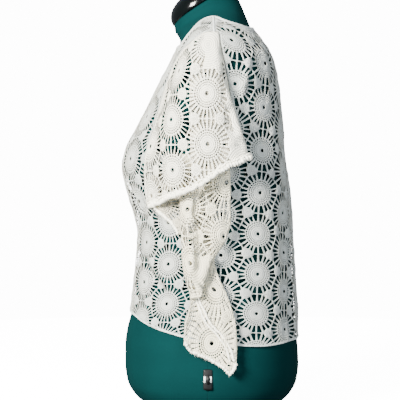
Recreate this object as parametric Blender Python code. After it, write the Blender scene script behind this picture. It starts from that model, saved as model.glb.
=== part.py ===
# Crochet lace top with wide angel sleeves, worn by a limbless dress form
# Metres, +Z up. The front faces -Y and the wearer's left is +X. The form stands on its flat base at z = 0.
import math

import bpy
import numpy as np
from mathutils.geometry import delaunay_2d_cdt

# Cloth
CLOTH = 0.0016
SEAM_GAP = 0.0003
ARMHOLE_GAP = 0.0012
BINDING_HEIGHT = 0.0055
BINDING_THICKNESS = 0.0020
BINDING_GAP = 0.0012

# Form
FORM_SIDES = 52
FORM_LEVEL = 0.034
CAP_GAP = 0.0003
CAP_RISE = 0.034
CAP_SIDES = 40
CAP_RINGS = 7
CAP_SPREAD = 1.035
CAP_SIDE_POWER = 0.8
CAP_RISE_POWER = 0.9

# Largest gaps of a round motif: one on each side of the join at its top
LARGE_GAP_WIDTH = 0.0052
LARGE_GAP_LENGTH = 0.0068
LARGE_GAP_TAPER = 0.86
LARGE_GAP_ROUND = 0.0008
LARGE_GAP_IN = 0.0015
LARGE_GAP_ASIDE = 0.0009
GAP_MARGIN = 0.009
GAP_NEAR = 0.020

# Steps for measuring how a surface faces
BARE_STEP = 0.002
DRAPED_STEP = 0.004
SHEET_STEP = 0.0015

# Spacing of the wall's points
PANEL_SPACING = 0.0240
UPPER_SPACING = 0.0180
UNDER_SPACING = 0.0145
FOLD_CLEAR = 0.0075
EDGE_SHARE = 0.8
UNDER_EDGE_SHARE = 0.85
SAME_POINT = 0.0015

# Places along the edges, which are the same on both pieces of a seam
HEM_STATIONS = 25
SIDE_STATIONS = 16
ARMHOLE_STATIONS = 14
SHOULDER_STATIONS = 8
NECK_STATIONS = 60
SLEEVE_LOW_STATIONS = 9
TURNED_STATIONS = 30
RIM_STATIONS = 36
ARMHOLE_LOW = 0.4520
ARMHOLE_HIGH = 0.6340

# How finely the flat measures are taken
PANEL_LOW = 0.110
PANEL_TOP = 0.689
PANEL_LEVELS = 291
PANEL_TURNS = 181
PANEL_REACH = 0.30
PANEL_LINES = 151
UPPER_LEVELS = 72
UNDER_LEVELS = 90
SECTION_STEPS = 12

# Sections of the form: height at the side line, forward tilt of the section as its rise per metre to
# the back, then the side line, the front and the back along Y, the half width, and the power of the
# rounded outline
SECTION_COLUMNS = ("height", "tilt", "side", "front", "back", "half", "power")
FORM_SECTIONS = (
    (0.000, 0.00, 0.003, -0.0780, 0.0840, 0.1150, 2.2),
    (0.014, 0.00, 0.003, -0.1085, 0.1145, 0.1460, 2.2),
    (0.034, 0.00, 0.003, -0.1330, 0.1390, 0.1680, 2.2),
    (0.055, 0.00, 0.003, -0.1440, 0.1500, 0.1785, 2.2),
    (0.082, 0.00, 0.003, -0.1475, 0.1535, 0.1825, 2.2),
    (0.115, 0.00, 0.003, -0.1475, 0.1520, 0.1815, 2.2),
    (0.142, 0.00, 0.003, -0.1440, 0.1480, 0.1765, 2.2),
    (0.174, 0.00, 0.002, -0.1355, 0.1450, 0.1735, 2.2),
    (0.230, 0.00, 0.001, -0.1260, 0.1410, 0.1590, 2.2),
    (0.310, 0.00, 0.000, -0.1200, 0.1370, 0.1480, 2.2),
    (0.360, 0.00, 0.000, -0.1300, 0.1330, 0.1490, 2.2),
    (0.400, 0.00, 0.000, -0.1430, 0.1290, 0.1530, 2.3),
    (0.424, 0.00, 0.000, -0.1503, 0.1245, 0.1560, 2.3),
    (0.453, 0.00, 0.000, -0.1435, 0.1253, 0.1600, 2.3),
    (0.501, 0.00, 0.001, -0.1180, 0.1225, 0.1635, 2.3),
    (0.557, 0.00, 0.002, -0.0900, 0.1175, 0.1690, 2.3),
    (0.600, 0.00, 0.003, -0.0670, 0.1085, 0.1705, 2.3),
    (0.620, 0.02, 0.004, -0.0585, 0.0993, 0.1670, 2.1),
    (0.638, 0.08, 0.005, -0.0530, 0.0835, 0.1520, 2.0),
    (0.650, 0.14, 0.005, -0.0520, 0.0725, 0.1320, 2.0),
    (0.661, 0.22, 0.005, -0.0540, 0.0665, 0.1120, 2.0),
    (0.671, 0.30, 0.005, -0.0568, 0.0610, 0.0900, 2.0),
    (0.680, 0.40, 0.003, -0.0590, 0.0560, 0.0690, 2.0),
    (0.690, 0.52, -0.003, -0.0612, 0.0485, 0.0565, 2.0),
    (0.7015, 0.62, -0.012, -0.0625, 0.0385, 0.0535, 2.0),
)

# Sections of the worn top, at the middle of its wall. It rests on the shoulders, bust, back and hips
# and hangs free of the waist.
TOP_SECTIONS = (
    (0.100, 0.00, 0.003, -0.1510, 0.1570, 0.1870, 2.2),
    (0.130, 0.00, 0.003, -0.1490, 0.1530, 0.1828, 2.2),
    (0.152, 0.00, 0.002, -0.1445, 0.1518, 0.1802, 2.2),
    (0.174, 0.00, 0.002, -0.1388, 0.1508, 0.1780, 2.2),
    (0.222, 0.00, 0.001, -0.1330, 0.1478, 0.1735, 2.25),
    (0.260, 0.00, 0.000, -0.1292, 0.1458, 0.1700, 2.3),
    (0.306, 0.00, 0.000, -0.1262, 0.1425, 0.1660, 2.3),
    (0.340, 0.00, 0.000, -0.1330, 0.1398, 0.1640, 2.3),
    (0.369, 0.00, 0.000, -0.1418, 0.1375, 0.1635, 2.35),
    (0.394, 0.00, 0.000, -0.1485, 0.1350, 0.1640, 2.4),
    (0.421, 0.00, 0.000, -0.1532, 0.1325, 0.1650, 2.4),
    (0.453, 0.00, 0.000, -0.1468, 0.1290, 0.1660, 2.35),
    (0.487, 0.00, 0.001, -0.1292, 0.1275, 0.1670, 2.3),
    (0.521, 0.00, 0.001, -0.1112, 0.1242, 0.1685, 2.3),
    (0.557, 0.00, 0.002, -0.0933, 0.1200, 0.1720, 2.3),
    (0.600, 0.00, 0.003, -0.0705, 0.1118, 0.1745, 2.3),
    (0.620, 0.02, 0.004, -0.0617, 0.1028, 0.1720, 2.1),
    (0.638, 0.08, 0.005, -0.0565, 0.0872, 0.1605, 2.0),
    (0.650, 0.14, 0.005, -0.0557, 0.0762, 0.1410, 2.0),
    (0.661, 0.22, 0.005, -0.0577, 0.0700, 0.1210, 2.0),
    (0.671, 0.30, 0.005, -0.0603, 0.0648, 0.0990, 2.0),
    (0.680, 0.40, 0.003, -0.0624, 0.0597, 0.0770, 2.0),
    (0.690, 0.52, -0.003, -0.0648, 0.0520, 0.0615, 2.0),
)

# The neckline's height at angles in degrees from the centre front, 0, to the centre back, 180. It lies
# nearly level across the front and the back and climbs steeply to the shoulders.
EDGE_COLUMNS = ("angle", "height")
NECKLINE = (
    (0, 0.6280),
    (25, 0.6255),
    (45, 0.6215),
    (57, 0.6200),
    (62, 0.6255),
    (66, 0.6317),
    (72, 0.6437),
    (76, 0.6567),
    (80, 0.6667),
    (84, 0.6697),
    (88, 0.6677),
    (92, 0.6627),
    (96, 0.6557),
    (102, 0.6497),
    (110, 0.6450),
    (118, 0.6420),
    (140, 0.6450),
    (160, 0.6480),
    (180, 0.6495),
)

# The hem's height at the same angles: it is higher at the front than at the back
HEM = (
    (0, 0.1745),
    (30, 0.1712),
    (60, 0.1545),
    (90, 0.1370),
    (120, 0.1285),
    (150, 0.1310),
    (180, 0.1295),
)

# Seams and armholes of the body panels: the bottom of the armhole by angle and height on the front, and
# how much narrower it is on the back
SHOULDER_TIP = 0.6365
UNDERARM = 0.4300
ARMHOLE_BOTTOM = ((78, 0.4312), (66, 0.4345), (58, 0.4400))
ARMHOLE_BACK_SHARE = 0.45

# Each sleeve's outer layer: angles of its front and back armhole seams on the body, and between them
# the Y and X of three lines down it at the middle of the wall, which are the front swell, the crown and
# the fold at its back edge
UPPER_COLUMNS = (
    "height",
    "front_angle",
    "swell_y",
    "swell_x",
    "crown_y",
    "crown_x",
    "fold_y",
    "fold_x",
    "back_angle",
)
UPPER_SECTIONS = (
    (0.6340, 84.0, -0.0040, 0.1665, 0.0030, 0.1675, 0.0062, 0.1672, 92.5),
    (0.6100, 70.0, -0.0190, 0.1760, 0.0035, 0.1830, 0.0100, 0.1795, 94.0),
    (0.5860, 62.0, -0.0330, 0.1790, 0.0032, 0.1905, 0.0150, 0.1835, 96.0),
    (0.5380, 57.0, -0.0520, 0.1840, 0.0015, 0.2005, 0.0250, 0.1900, 99.5),
    (0.4930, 54.5, -0.0620, 0.1885, 0.0015, 0.2075, 0.0375, 0.1930, 103.5),
    (0.4500, 52.5, -0.0640, 0.1910, 0.0028, 0.2120, 0.0520, 0.1945, 107.0),
    (0.4000, 51.0, -0.0610, 0.1925, 0.0045, 0.2135, 0.0680, 0.1940, 110.0),
    (0.3500, 50.0, -0.0570, 0.1905, 0.0050, 0.2130, 0.0820, 0.1920, 113.0),
)

# Below the armhole the outer layer hangs just clear of the panels
UPPER_LIFT_FROM = 0.470
UPPER_LIFT_TO = 0.440
UPPER_LIFT = 0.0045

# The finished hem of the outer layer, from its front to the corner at its back fold
UPPER_HEM = (
    (-0.0990, 0.3540),
    (-0.0822, 0.3605),
    (-0.0604, 0.3700),
    (-0.0340, 0.3789),
    (-0.0081, 0.3937),
    (0.0091, 0.4062),
    (0.0248, 0.4170),
    (0.0454, 0.4238),
    (0.0590, 0.4300),
)
UPPER_HEM_BACK = 0.4380

# Each sleeve's under part, as level sections from the underarm to the tip. It lies in a turned-over
# cascade, and the columns give the Y of its free edge, a soft sheet, a crease, a round fold, the turn
# at its front, the underarm seam's ridge and the rim at its back. Stand says how far the folds stand
# off the side, and relief how deep they are, from 0 to 1.
UNDER_COLUMNS = ("height", "edge", "sheet", "crease", "fold", "turn", "ridge", "rim", "stand", "relief")
UNDER_SECTIONS = (
    (0.4370, 0.0270, 0.0100, -0.0080, -0.0260, -0.0480, -0.0060, 0.0120, 0.80, 0.4),
    (0.4040, 0.0310, 0.0100, -0.0180, -0.0320, -0.0490, -0.0100, 0.0080, 0.88, 0.6),
    (0.3680, 0.0315, 0.0060, -0.0270, -0.0390, -0.0490, -0.0140, 0.0064, 0.90, 0.8),
    (0.3310, 0.0315, 0.0080, -0.0280, -0.0400, -0.0490, -0.0180, 0.0050, 1.00, 1.0),
    (0.3010, 0.0240, 0.0050, -0.0213, -0.0350, -0.0476, -0.0200, 0.0048, 1.00, 1.0),
    (0.2690, 0.0045, -0.0050, -0.0175, -0.0330, -0.0460, -0.0200, 0.0052, 1.00, 0.9),
    (0.2370, -0.0060, -0.0130, -0.0220, -0.0320, -0.0413, -0.0190, 0.0140, 0.95, 0.5),
    (0.2100, -0.0150, -0.0190, -0.0235, -0.0280, -0.0325, -0.0120, 0.0268, 0.80, 0.1),
    (0.1700, -0.0230, -0.0270, -0.0310, -0.0350, -0.0397, -0.0050, 0.0385, 0.80, 0.1),
    (0.1380, -0.0260, -0.0300, -0.0340, -0.0380, -0.0428, 0.0230, 0.0412, 0.80, 0.1),
    (0.0800, -0.0280, -0.0320, -0.0360, -0.0400, -0.0440, 0.0290, 0.0390, 0.80, 0.1),
)
KNOT_HEIGHT = 0.2100
KNOT_DROP = 0.003
HEM_LIFT = 0.002
RIM_LOW = 0.106

# How far each line of the under part stands off the side of the body where stand and relief are 1
UNDER_OFF = {
    "edge": 0.0175,
    "sheet": 0.0270,
    "crease": 0.0185,
    "fold": 0.0255,
    "turn": 0.0120,
    "inner": 0.0025,
    "ridge": 0.0080,
    "rim": 0.0060,
}
UNDER_LEVEL = 0.0210
UNDER_RELIEVED = ("edge", "sheet", "crease", "fold")
UNDER_BASE = 0.0026

# At its top the under part's inner layer is sewn on at the underarm, close to the panels
UNDER_SEAT = 0.0044
UNDER_SEAT_FROM = 0.3950
UNDER_SEAT_TO = 0.4200

# The hem of the under part, from its turn to the tip and up to the rim
UNDER_HEM = (
    (-0.0400, 0.1360),
    (-0.0330, 0.1250),
    (-0.0175, 0.1185),
    (0.0014, 0.1103),
    (0.0219, 0.0990),
    (0.0290, 0.0885),
    (0.0370, 0.0985),
)

# Broad drape of the panels: a soft ridge, or a trough where its rise is below 0, from one angle and height to
# another
DRAPE_RADIUS = 0.15
DRAPE_END = 1.5
DRAPE_COLUMNS = ("from_angle", "from_height", "to_angle", "to_height", "rise", "width")
DRAPE = (
    (152, 0.300, 150, 0.130, 0.0030, 0.014),
    (141, 0.330, 140, 0.160, -0.0035, 0.014),
    (133, 0.470, 136, 0.390, 0.0030, 0.013),
    (113, 0.585, 109, 0.490, 0.0035, 0.012),
    (48, 0.262, 62, 0.212, -0.0040, 0.012),
    (27, 0.386, 40, 0.345, -0.0040, 0.013),
    (170, 0.380, 174, 0.180, 0.0030, 0.018),
    (-147, 0.320, -150, 0.150, 0.0032, 0.015),
    (-127, 0.450, -133, 0.350, -0.0035, 0.014),
    (-112, 0.580, -107, 0.500, 0.0032, 0.012),
    (-54, 0.300, -66, 0.215, -0.0040, 0.013),
    (-22, 0.380, -36, 0.330, -0.0035, 0.013),
    (-12, 0.250, -9, 0.180, 0.0025, 0.016),
)

# Round motifs lie in columns by number, each half a motif lower or higher than the next. A panel's columns
# are given by how far across they lie at the hem, left of its centre line, and lean to that line on the way
# up. Those on its right mirror them. Rows are counted up a piece's own flat measure from its first, and each
# row is taller than the one below by its growth, because the upper lace hangs stretched.
FRONT_MOTIFS = {0: 0.035, 1: 0.116, 2: 0.1765, 3: 0.240}
BACK_MOTIFS = {0: 0.0, 1: 0.0595, 2: 0.121, 3: 0.191, 4: 0.2547}
UPPER_MOTIFS = {-2: -0.130, -1: -0.069, 0: -0.008, 1: 0.053}
UNDER_MOTIFS = {-1: -0.018, 0: 0.045}
FRONT_ROWS = {"first": 0.1980, "pitch": 0.0622, "growth": 0.0018, "lean": 0.06, "whole": 0}
BACK_ROWS = {"first": 0.1818, "pitch": 0.0622, "growth": 0.00095, "lean": 0.14, "whole": 1}
UPPER_ROWS = {"first": 0.4110, "pitch": 0.0805, "growth": 0.0, "lean": 0.0, "whole": 1}
UNDER_ROWS = {"first": 0.1790, "pitch": 0.0850, "growth": 0.0, "lean": 0.0, "whole": 1}
ROW_RANGE = (-2, 10)
LEAN_FROM = 0.150
LEAN_WIDTH = 0.100


# Curves through the rows of a table
def slopes(knots, values):
    step = np.diff(knots)[:, None]
    chord = np.diff(values, axis=0) / step
    tangent = np.zeros_like(values)
    tangent[0] = chord[0]
    tangent[-1] = chord[-1]
    before = chord[:-1]
    after = chord[1:]
    same = before * after > 0
    total = np.where(same, before + after, 1.0)
    tangent[1:-1] = np.where(same, 2 * before * after / total, 0.0)
    return tangent


def smooth(knots, values, at):
    knots = np.asarray(knots, float)
    values = np.asarray(values, float).reshape(len(knots), -1)
    at = np.clip(np.asarray(at, float), knots[0], knots[-1])
    tangent = slopes(knots, values)
    i = np.clip(np.searchsorted(knots, at, side="right") - 1, 0, len(knots) - 2)
    step = (knots[i + 1] - knots[i])[..., None]
    u = ((at - knots[i])[..., None]) / step
    start = (1 + 2 * u) * (1 - u) ** 2 * values[i] + u * (1 - u) ** 2 * step * tangent[i]
    end = u * u * (3 - 2 * u) * values[i + 1] + u * u * (u - 1) * step * tangent[i + 1]
    return start + end


def table_reader(names, rows):
    """Give each named column of a table as a smooth curve of its first column."""
    rows = np.array(sorted(rows), float)

    def read(at):
        found = smooth(rows[:, 0], rows[:, 1:], at)
        return {name: found[..., k] for k, name in enumerate(names[1:])}

    return read


read_form = table_reader(SECTION_COLUMNS, FORM_SECTIONS)
read_top = table_reader(SECTION_COLUMNS, TOP_SECTIONS)
read_upper = table_reader(UPPER_COLUMNS, UPPER_SECTIONS)
read_under = table_reader(UNDER_COLUMNS, UNDER_SECTIONS)
read_neckline = table_reader(EDGE_COLUMNS, NECKLINE)
read_hem = table_reader(EDGE_COLUMNS, HEM)


# Points on a torso, by angle from the centre front towards the wearer's left, and by height
def torso_point(read, angle, height):
    angle = np.asarray(angle, float)
    height = np.asarray(height, float)
    row = read(height)
    sine = np.sin(angle)
    cosine = np.cos(angle)
    depth = np.where(cosine > 0, row["side"] - row["front"], row["back"] - row["side"])
    power = row["power"]
    across = np.abs(sine / row["half"]) ** power
    along = np.abs(cosine / depth) ** power
    radius = (across + along) ** (-1 / power)
    x = radius * sine
    y = row["side"] - radius * cosine
    z = height + row["tilt"] * (y - row["side"])
    return np.stack([x, y, z], axis=-1)


def drape(angle, height):
    """Give the rise of the panels' broad ridges and troughs."""
    total = np.zeros(np.shape(angle))
    for values in DRAPE:
        fold = dict(zip(DRAPE_COLUMNS, values))
        start = np.array([math.radians(fold["from_angle"]) * DRAPE_RADIUS, fold["from_height"]])
        end = np.array([math.radians(fold["to_angle"]) * DRAPE_RADIUS, fold["to_height"]])
        length = np.linalg.norm(end - start)
        line = (end - start) / length
        across = np.asarray(angle) * DRAPE_RADIUS - start[0]
        up = height - start[1]
        along = across * line[0] + up * line[1]
        aside = across * line[1] - up * line[0]
        past = np.maximum(np.maximum(-along, along - length), 0)
        fade = (aside / fold["width"]) ** 2 + (past / (DRAPE_END * fold["width"])) ** 2
        total = total + fold["rise"] * np.exp(-fade)
    return total


def unit(vectors):
    return vectors / np.maximum(np.linalg.norm(vectors, axis=-1, keepdims=True), 1e-12)


def normal_of(surface, across, up, step):
    """Give the outward normal of a surface from its change over a small step each way."""
    side = surface(across + step, up) - surface(across - step, up)
    rise = surface(across, up + step) - surface(across, up - step)
    return unit(np.cross(side, rise))


def top_point(angle, height):
    """Give a point at the middle of the top's wall, and the wall's outward normal there."""

    def bare(a, h):
        return torso_point(read_top, a, h)

    def draped(a, h):
        return bare(a, h) + normal_of(bare, a, h, BARE_STEP) * drape(a, h)[..., None]

    return draped(angle, height), normal_of(draped, angle, height, DRAPED_STEP)


# Flat measure of a body panel: across is the length round the section from the panel's centre line, and
# up is the length along the cloth
class PanelMap:
    heights = np.linspace(PANEL_LOW, PANEL_TOP, PANEL_LEVELS)
    swings = np.linspace(0, math.pi / 2, PANEL_TURNS)

    def __init__(self, back):
        self.back = back
        self.acrosses = np.linspace(0, PANEL_REACH, PANEL_LINES)
        swing, height = np.meshgrid(self.swings, self.heights)
        points = torso_point(read_top, self.angle(swing), height)
        steps = np.linalg.norm(np.diff(points, axis=1), axis=2)
        self.arcs = np.concatenate([np.zeros((len(self.heights), 1)), np.cumsum(steps, axis=1)], axis=1)
        columns = []
        for across in self.acrosses:
            swings = np.array([np.interp(across, arc, self.swings) for arc in self.arcs])
            line = torso_point(read_top, self.angle(swings), self.heights)
            lengths = np.linalg.norm(np.diff(line, axis=0), axis=1)
            columns.append(self.heights[0] + np.concatenate([[0], np.cumsum(lengths)]))
        self.ups = np.array(columns)

    def angle(self, swing):
        return math.pi - swing if self.back else swing

    def flat(self, angle, height):
        """Give the flat place of an angle, from -180 to 180 degrees in radians, and a height."""
        swing = math.pi - abs(angle) if self.back else abs(angle)
        k = np.clip(np.searchsorted(self.heights, height) - 1, 0, len(self.heights) - 2)
        u = (height - self.heights[k]) / (self.heights[k + 1] - self.heights[k])
        low = np.interp(swing, self.swings, self.arcs[k])
        high = np.interp(swing, self.swings, self.arcs[k + 1])
        across = low + (high - low) * u
        j = min(int(across / self.acrosses[1]), len(self.acrosses) - 2)
        v = across / self.acrosses[1] - j
        first = np.interp(height, self.heights, self.ups[j])
        second = np.interp(height, self.heights, self.ups[j + 1])
        return math.copysign(across, angle), first + (second - first) * v

    def place(self, across, up):
        """Give the middle point of the wall and its outward normal for flat places."""
        angles = []
        heights = []
        for a, b in zip(across, up):
            size = abs(a)
            j = min(int(size / self.acrosses[1]), len(self.acrosses) - 2)
            v = size / self.acrosses[1] - j
            first = np.interp(b, self.ups[j], self.heights)
            second = np.interp(b, self.ups[j + 1], self.heights)
            height = first + (second - first) * v
            k = int(np.clip(np.searchsorted(self.heights, height) - 1, 0, len(self.heights) - 2))
            u = (height - self.heights[k]) / (self.heights[k + 1] - self.heights[k])
            low = np.interp(size, self.arcs[k], self.swings)
            high = np.interp(size, self.arcs[k + 1], self.swings)
            angles.append(math.copysign(self.angle(low + (high - low) * u), a))
            heights.append(height)
        return top_point(np.array(angles), np.array(heights))


# A draped sheet given by level sections: along is the length round a section from its reference line
class SheetMap:
    def __init__(self, heights, sections, reference):
        self.heights = heights
        self.sections = []
        self.lengths = []
        fine = np.linspace(0, 1, SECTION_STEPS, endpoint=False)
        for points in sections:
            count = len(points)
            at = np.concatenate([np.add.outer(np.arange(count - 1), fine).ravel(), [count - 1]])
            line = rounded(points, at)
            length = np.concatenate([[0], np.cumsum(np.linalg.norm(np.diff(line, axis=0), axis=1))])
            self.sections.append(line)
            self.lengths.append(length - np.interp(reference, at, length))
        self.at = at

    def line(self, k, along):
        return np.stack([np.interp(along, self.lengths[k], self.sections[k][:, i]) for i in (0, 1)], axis=-1)

    def mark(self, height, number):
        """Give how far along the section at a height one of its numbered lines lies."""
        marks = [np.interp(number, self.at, length) for length in self.lengths]
        return float(np.interp(height, self.heights, marks))

    def find_y(self, height, y, first, last):
        """Give how far along the section at a height the value y comes, between two of its lines."""
        k = int(np.clip(np.searchsorted(self.heights, height), 0, len(self.heights) - 1))
        inside = (self.at >= first) & (self.at <= last)
        return float(np.interp(y, self.sections[k][inside, 1], self.lengths[k][inside]))

    def middle(self, along, height):
        points = []
        for a, h in zip(along, height):
            k = int(np.clip(np.searchsorted(self.heights, h) - 1, 0, len(self.heights) - 2))
            u = (h - self.heights[k]) / (self.heights[k + 1] - self.heights[k])
            u = min(max(u, 0.0), 1.0)
            x, y = self.line(k, a) * (1 - u) + self.line(k + 1, a) * u
            points.append((x, y, h))
        return np.array(points)

    def place(self, along, height):
        side = self.middle(along + SHEET_STEP, height) - self.middle(along - SHEET_STEP, height)
        rise = self.middle(along, height + SHEET_STEP) - self.middle(along, height - SHEET_STEP)
        rise[:, 2] = np.maximum(rise[:, 2], SHEET_STEP)
        return self.middle(along, height), unit(np.cross(side, rise))


def rounded(points, at):
    """Give a smooth curve through the points of a section."""
    points = np.asarray(points, float)
    count = len(points)
    ends = np.vstack([2 * points[0] - points[1], points, 2 * points[-1] - points[-2]])
    i = np.clip(at.astype(int), 0, count - 2)
    u = (at - i)[:, None]
    a, b, c, d = ends[i], ends[i + 1], ends[i + 2], ends[i + 3]
    return 0.5 * (2 * b + (c - a) * u + (2 * a - 5 * b + 4 * c - d) * u**2 + (3 * b - a - 3 * c + d) * u**3)


# Flat outlines
def even(points, spacing):
    """Give points evenly spaced along an open line."""
    points = np.asarray(points, float)
    length = np.concatenate([[0], np.cumsum(np.linalg.norm(np.diff(points, axis=0), axis=1))])
    count = max(2, int(round(length[-1] / spacing)) + 1)
    at = np.linspace(0, length[-1], count)
    return [np.array([np.interp(t, length, points[:, 0]), np.interp(t, length, points[:, 1])]) for t in at]


def inside(points, outline):
    points = np.asarray(points, float)
    outline = np.asarray(outline, float)
    x, y = points[:, 0][:, None], points[:, 1][:, None]
    ax, ay = outline[:, 0], outline[:, 1]
    bx, by = np.roll(ax, -1), np.roll(ay, -1)
    level = (ay > y) != (by > y)
    rise = np.where(by == ay, 1e-12, by - ay)
    cross = x < (bx - ax) * (y - ay) / rise + ax
    return (level & cross).sum(axis=1) % 2 == 1


def distance(points, outline):
    points = np.asarray(points, float)[:, None, :]
    start = np.asarray(outline, float)
    line = np.roll(start, -1, axis=0) - start
    size = np.maximum((line**2).sum(axis=1), 1e-18)
    t = np.clip(((points - start) * line).sum(axis=2) / size, 0, 1)
    return np.linalg.norm(points - (start + t[..., None] * line), axis=2).min(axis=1)


def both_sides(columns):
    """Add the columns on a panel's right, as mirror images of those on its left."""
    last = 0 if columns[0] == 0 else -1
    return {**{last - number: -across for number, across in columns.items()}, **columns}


def motif_joins(columns, rows):
    """Give the flat place of the join at the top of each motif."""
    for number, hem_across in columns.items():
        shift = 0.5 * ((number + rows["whole"]) % 2)
        side = min(abs(hem_across) / LEAN_WIDTH, 1.0)
        lean = math.copysign(rows["lean"] * side, hem_across)
        for k in range(*ROW_RANGE):
            row = k + shift + 0.5
            up = rows["first"] + rows["pitch"] * row + rows["growth"] * row * row
            yield hem_across - lean * (up - LEAN_FROM), up


def large_gaps(outline, columns, rows):
    """Give the corners of the largest gaps of the motifs that lie inside an outline."""
    gaps = []
    low = -LARGE_GAP_IN - LARGE_GAP_LENGTH
    for x, y in motif_joins(columns, rows):
        for side in (-1, 1):
            near = LARGE_GAP_ASIDE * side
            far = near + LARGE_GAP_WIDTH * side
            corners = (
                (near, -LARGE_GAP_IN),
                (far, -LARGE_GAP_IN - LARGE_GAP_ROUND),
                (far * LARGE_GAP_TAPER, low),
                (near, low - LARGE_GAP_ROUND),
            )
            gap = np.array([(x + a, y + b) for a, b in corners])
            if inside(gap, outline).all() and distance(gap, outline).min() > GAP_MARGIN:
                gaps.append(gap)
    return gaps


# Points inside an outline
def clear_of(points, outline, gaps, spacing):
    """Say which points lie inside an outline and not too close to it or to a gap."""
    points = np.asarray(points)
    clear = inside(points, outline) & (distance(points, outline) > 0.5 * spacing)
    for gap in gaps:
        clear &= np.linalg.norm(points - gap.mean(axis=0), axis=1) > 0.5 * spacing
    return clear


def staggered_points(outline, gaps, spacing):
    """Give evenly staggered points inside an outline, and no lines between them."""
    low = np.min(outline, axis=0)
    high = np.max(outline, axis=0)
    row_step = spacing * math.sqrt(3) / 2
    points = []
    for j in range(int((high[1] - low[1]) / row_step) + 2):
        shift = 0.5 * (j % 2)
        for i in range(int((high[0] - low[0]) / spacing) + 2):
            points.append((low[0] + (i + shift) * spacing, low[1] + j * row_step))
    points = np.array(points)
    return points[clear_of(points, outline, gaps, spacing)], []


def fold_points(sheet, outline, gaps, numbers, spacing):
    """Give points down the numbered lines of a draped sheet, and the lines between neighbours."""
    low = np.min(outline, axis=0)[1]
    high = np.max(outline, axis=0)[1]
    heights = np.linspace(low, high, int(round((high - low) / spacing)) + 1)
    points = []
    lines = []
    for number in numbers:
        run = np.array([(sheet.mark(height, number), height) for height in heights])
        clear = clear_of(run, outline, gaps, FOLD_CLEAR)
        for k in range(len(run)):
            if clear[k]:
                if k and clear[k - 1]:
                    lines.append((len(points) - 1, len(points)))
                points.append(run[k])
    return np.array(points), lines


# A cloth wall with cut gaps, from a flat outline and a map from flat places to the middle of the wall
def cut_wall(name, outline, gaps, grid, lines, place, material):
    outline = np.asarray(outline)
    points = list(outline) + list(grid)
    edges = [(i, (i + 1) % len(outline)) for i in range(len(outline))]
    edges.extend((len(outline) + i, len(outline) + j) for i, j in lines)
    for gap in gaps:
        first = len(points)
        points.extend(gap)
        edges.extend((first + i, first + (i + 1) % len(gap)) for i in range(len(gap)))
    flat = [(float(p[0]) * 1000, float(p[1]) * 1000) for p in points]
    vertices, _, faces, _, _, _ = delaunay_2d_cdt(flat, edges, [], 0, 1e-4)
    vertices = np.array([(v[0], v[1]) for v in vertices]) / 1000
    faces = np.array([tuple(f) for f in faces])
    centres = vertices[faces].mean(axis=1)
    keep = inside(centres, outline)
    for gap in gaps:
        near = np.linalg.norm(centres - gap.mean(axis=0), axis=1) < GAP_NEAR
        holes = np.zeros(len(centres), bool)
        holes[near] = inside(centres[near], gap)
        keep &= ~holes
    faces = faces[keep]
    a, b, c = (vertices[faces[:, i]] for i in range(3))
    turn = (b[:, 0] - a[:, 0]) * (c[:, 1] - a[:, 1]) - (b[:, 1] - a[:, 1]) * (c[:, 0] - a[:, 0])
    faces[turn < 0] = faces[turn < 0][:, ::-1]
    used, faces = np.unique(faces, return_inverse=True)
    faces = faces.reshape(-1, 3)
    vertices = vertices[used]
    middle, normal = place(vertices[:, 0], vertices[:, 1])
    a, b, c = (middle[faces[:, i]] for i in range(3))
    facing = (np.cross(b - a, c - a) * normal[faces[:, 0]]).sum()
    if facing < 0:
        faces = faces[:, ::-1]
    outer = middle + normal * CLOTH / 2
    inner = middle - normal * CLOTH / 2
    return wall_object(name, outer, inner, faces, material)


def wall_object(name, outer, inner, faces, material):
    count = len(outer)
    seen = {}
    for face in faces:
        for k in range(3):
            pair = (int(face[k]), int(face[(k + 1) % 3]))
            seen[pair] = True
    rims = [pair for pair in seen if (pair[1], pair[0]) not in seen]
    polygons = [tuple(int(i) for i in face) for face in faces]
    polygons += [tuple(int(i) + count for i in face[::-1]) for face in faces]
    for a, b in rims:
        polygons.append((b, a, a + count))
        polygons.append((b, a + count, b + count))
    return solid(name, np.vstack([outer, inner]), polygons, material)


def solid(name, points, polygons, material):
    mesh = bpy.data.meshes.new(name)
    mesh.from_pydata([tuple(float(v) for v in p) for p in points], [], polygons)
    mesh.update()
    mesh.materials.append(material)
    thing = bpy.data.objects.new(name, mesh)
    bpy.context.scene.collection.objects.link(thing)
    return thing


def finish(name, colour, roughness, metallic=0.0):
    material = bpy.data.materials.new(name)
    material.use_nodes = True
    shader = material.node_tree.nodes["Principled BSDF"]
    shader.inputs["Base Color"].default_value = (*colour, 1.0)
    shader.inputs["Roughness"].default_value = roughness
    shader.inputs["Metallic"].default_value = metallic
    return material


# Outlines of the body panels
def edge_height(read, angle):
    """Give the height of an edge at an angle, the same on the left as on the right."""
    return float(read(math.degrees(abs(angle)))["height"])


def section_radius(angle, height):
    point = torso_point(read_top, angle, height)
    row = read_top(height)
    return float(np.hypot(point[0], point[1] - row["side"]))


def seam_angle(angle, height, towards):
    """Move an angle half a seam gap along its section, towards the panel's centre line."""
    return angle + towards * SEAM_GAP / 2 / section_radius(angle, height)


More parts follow.
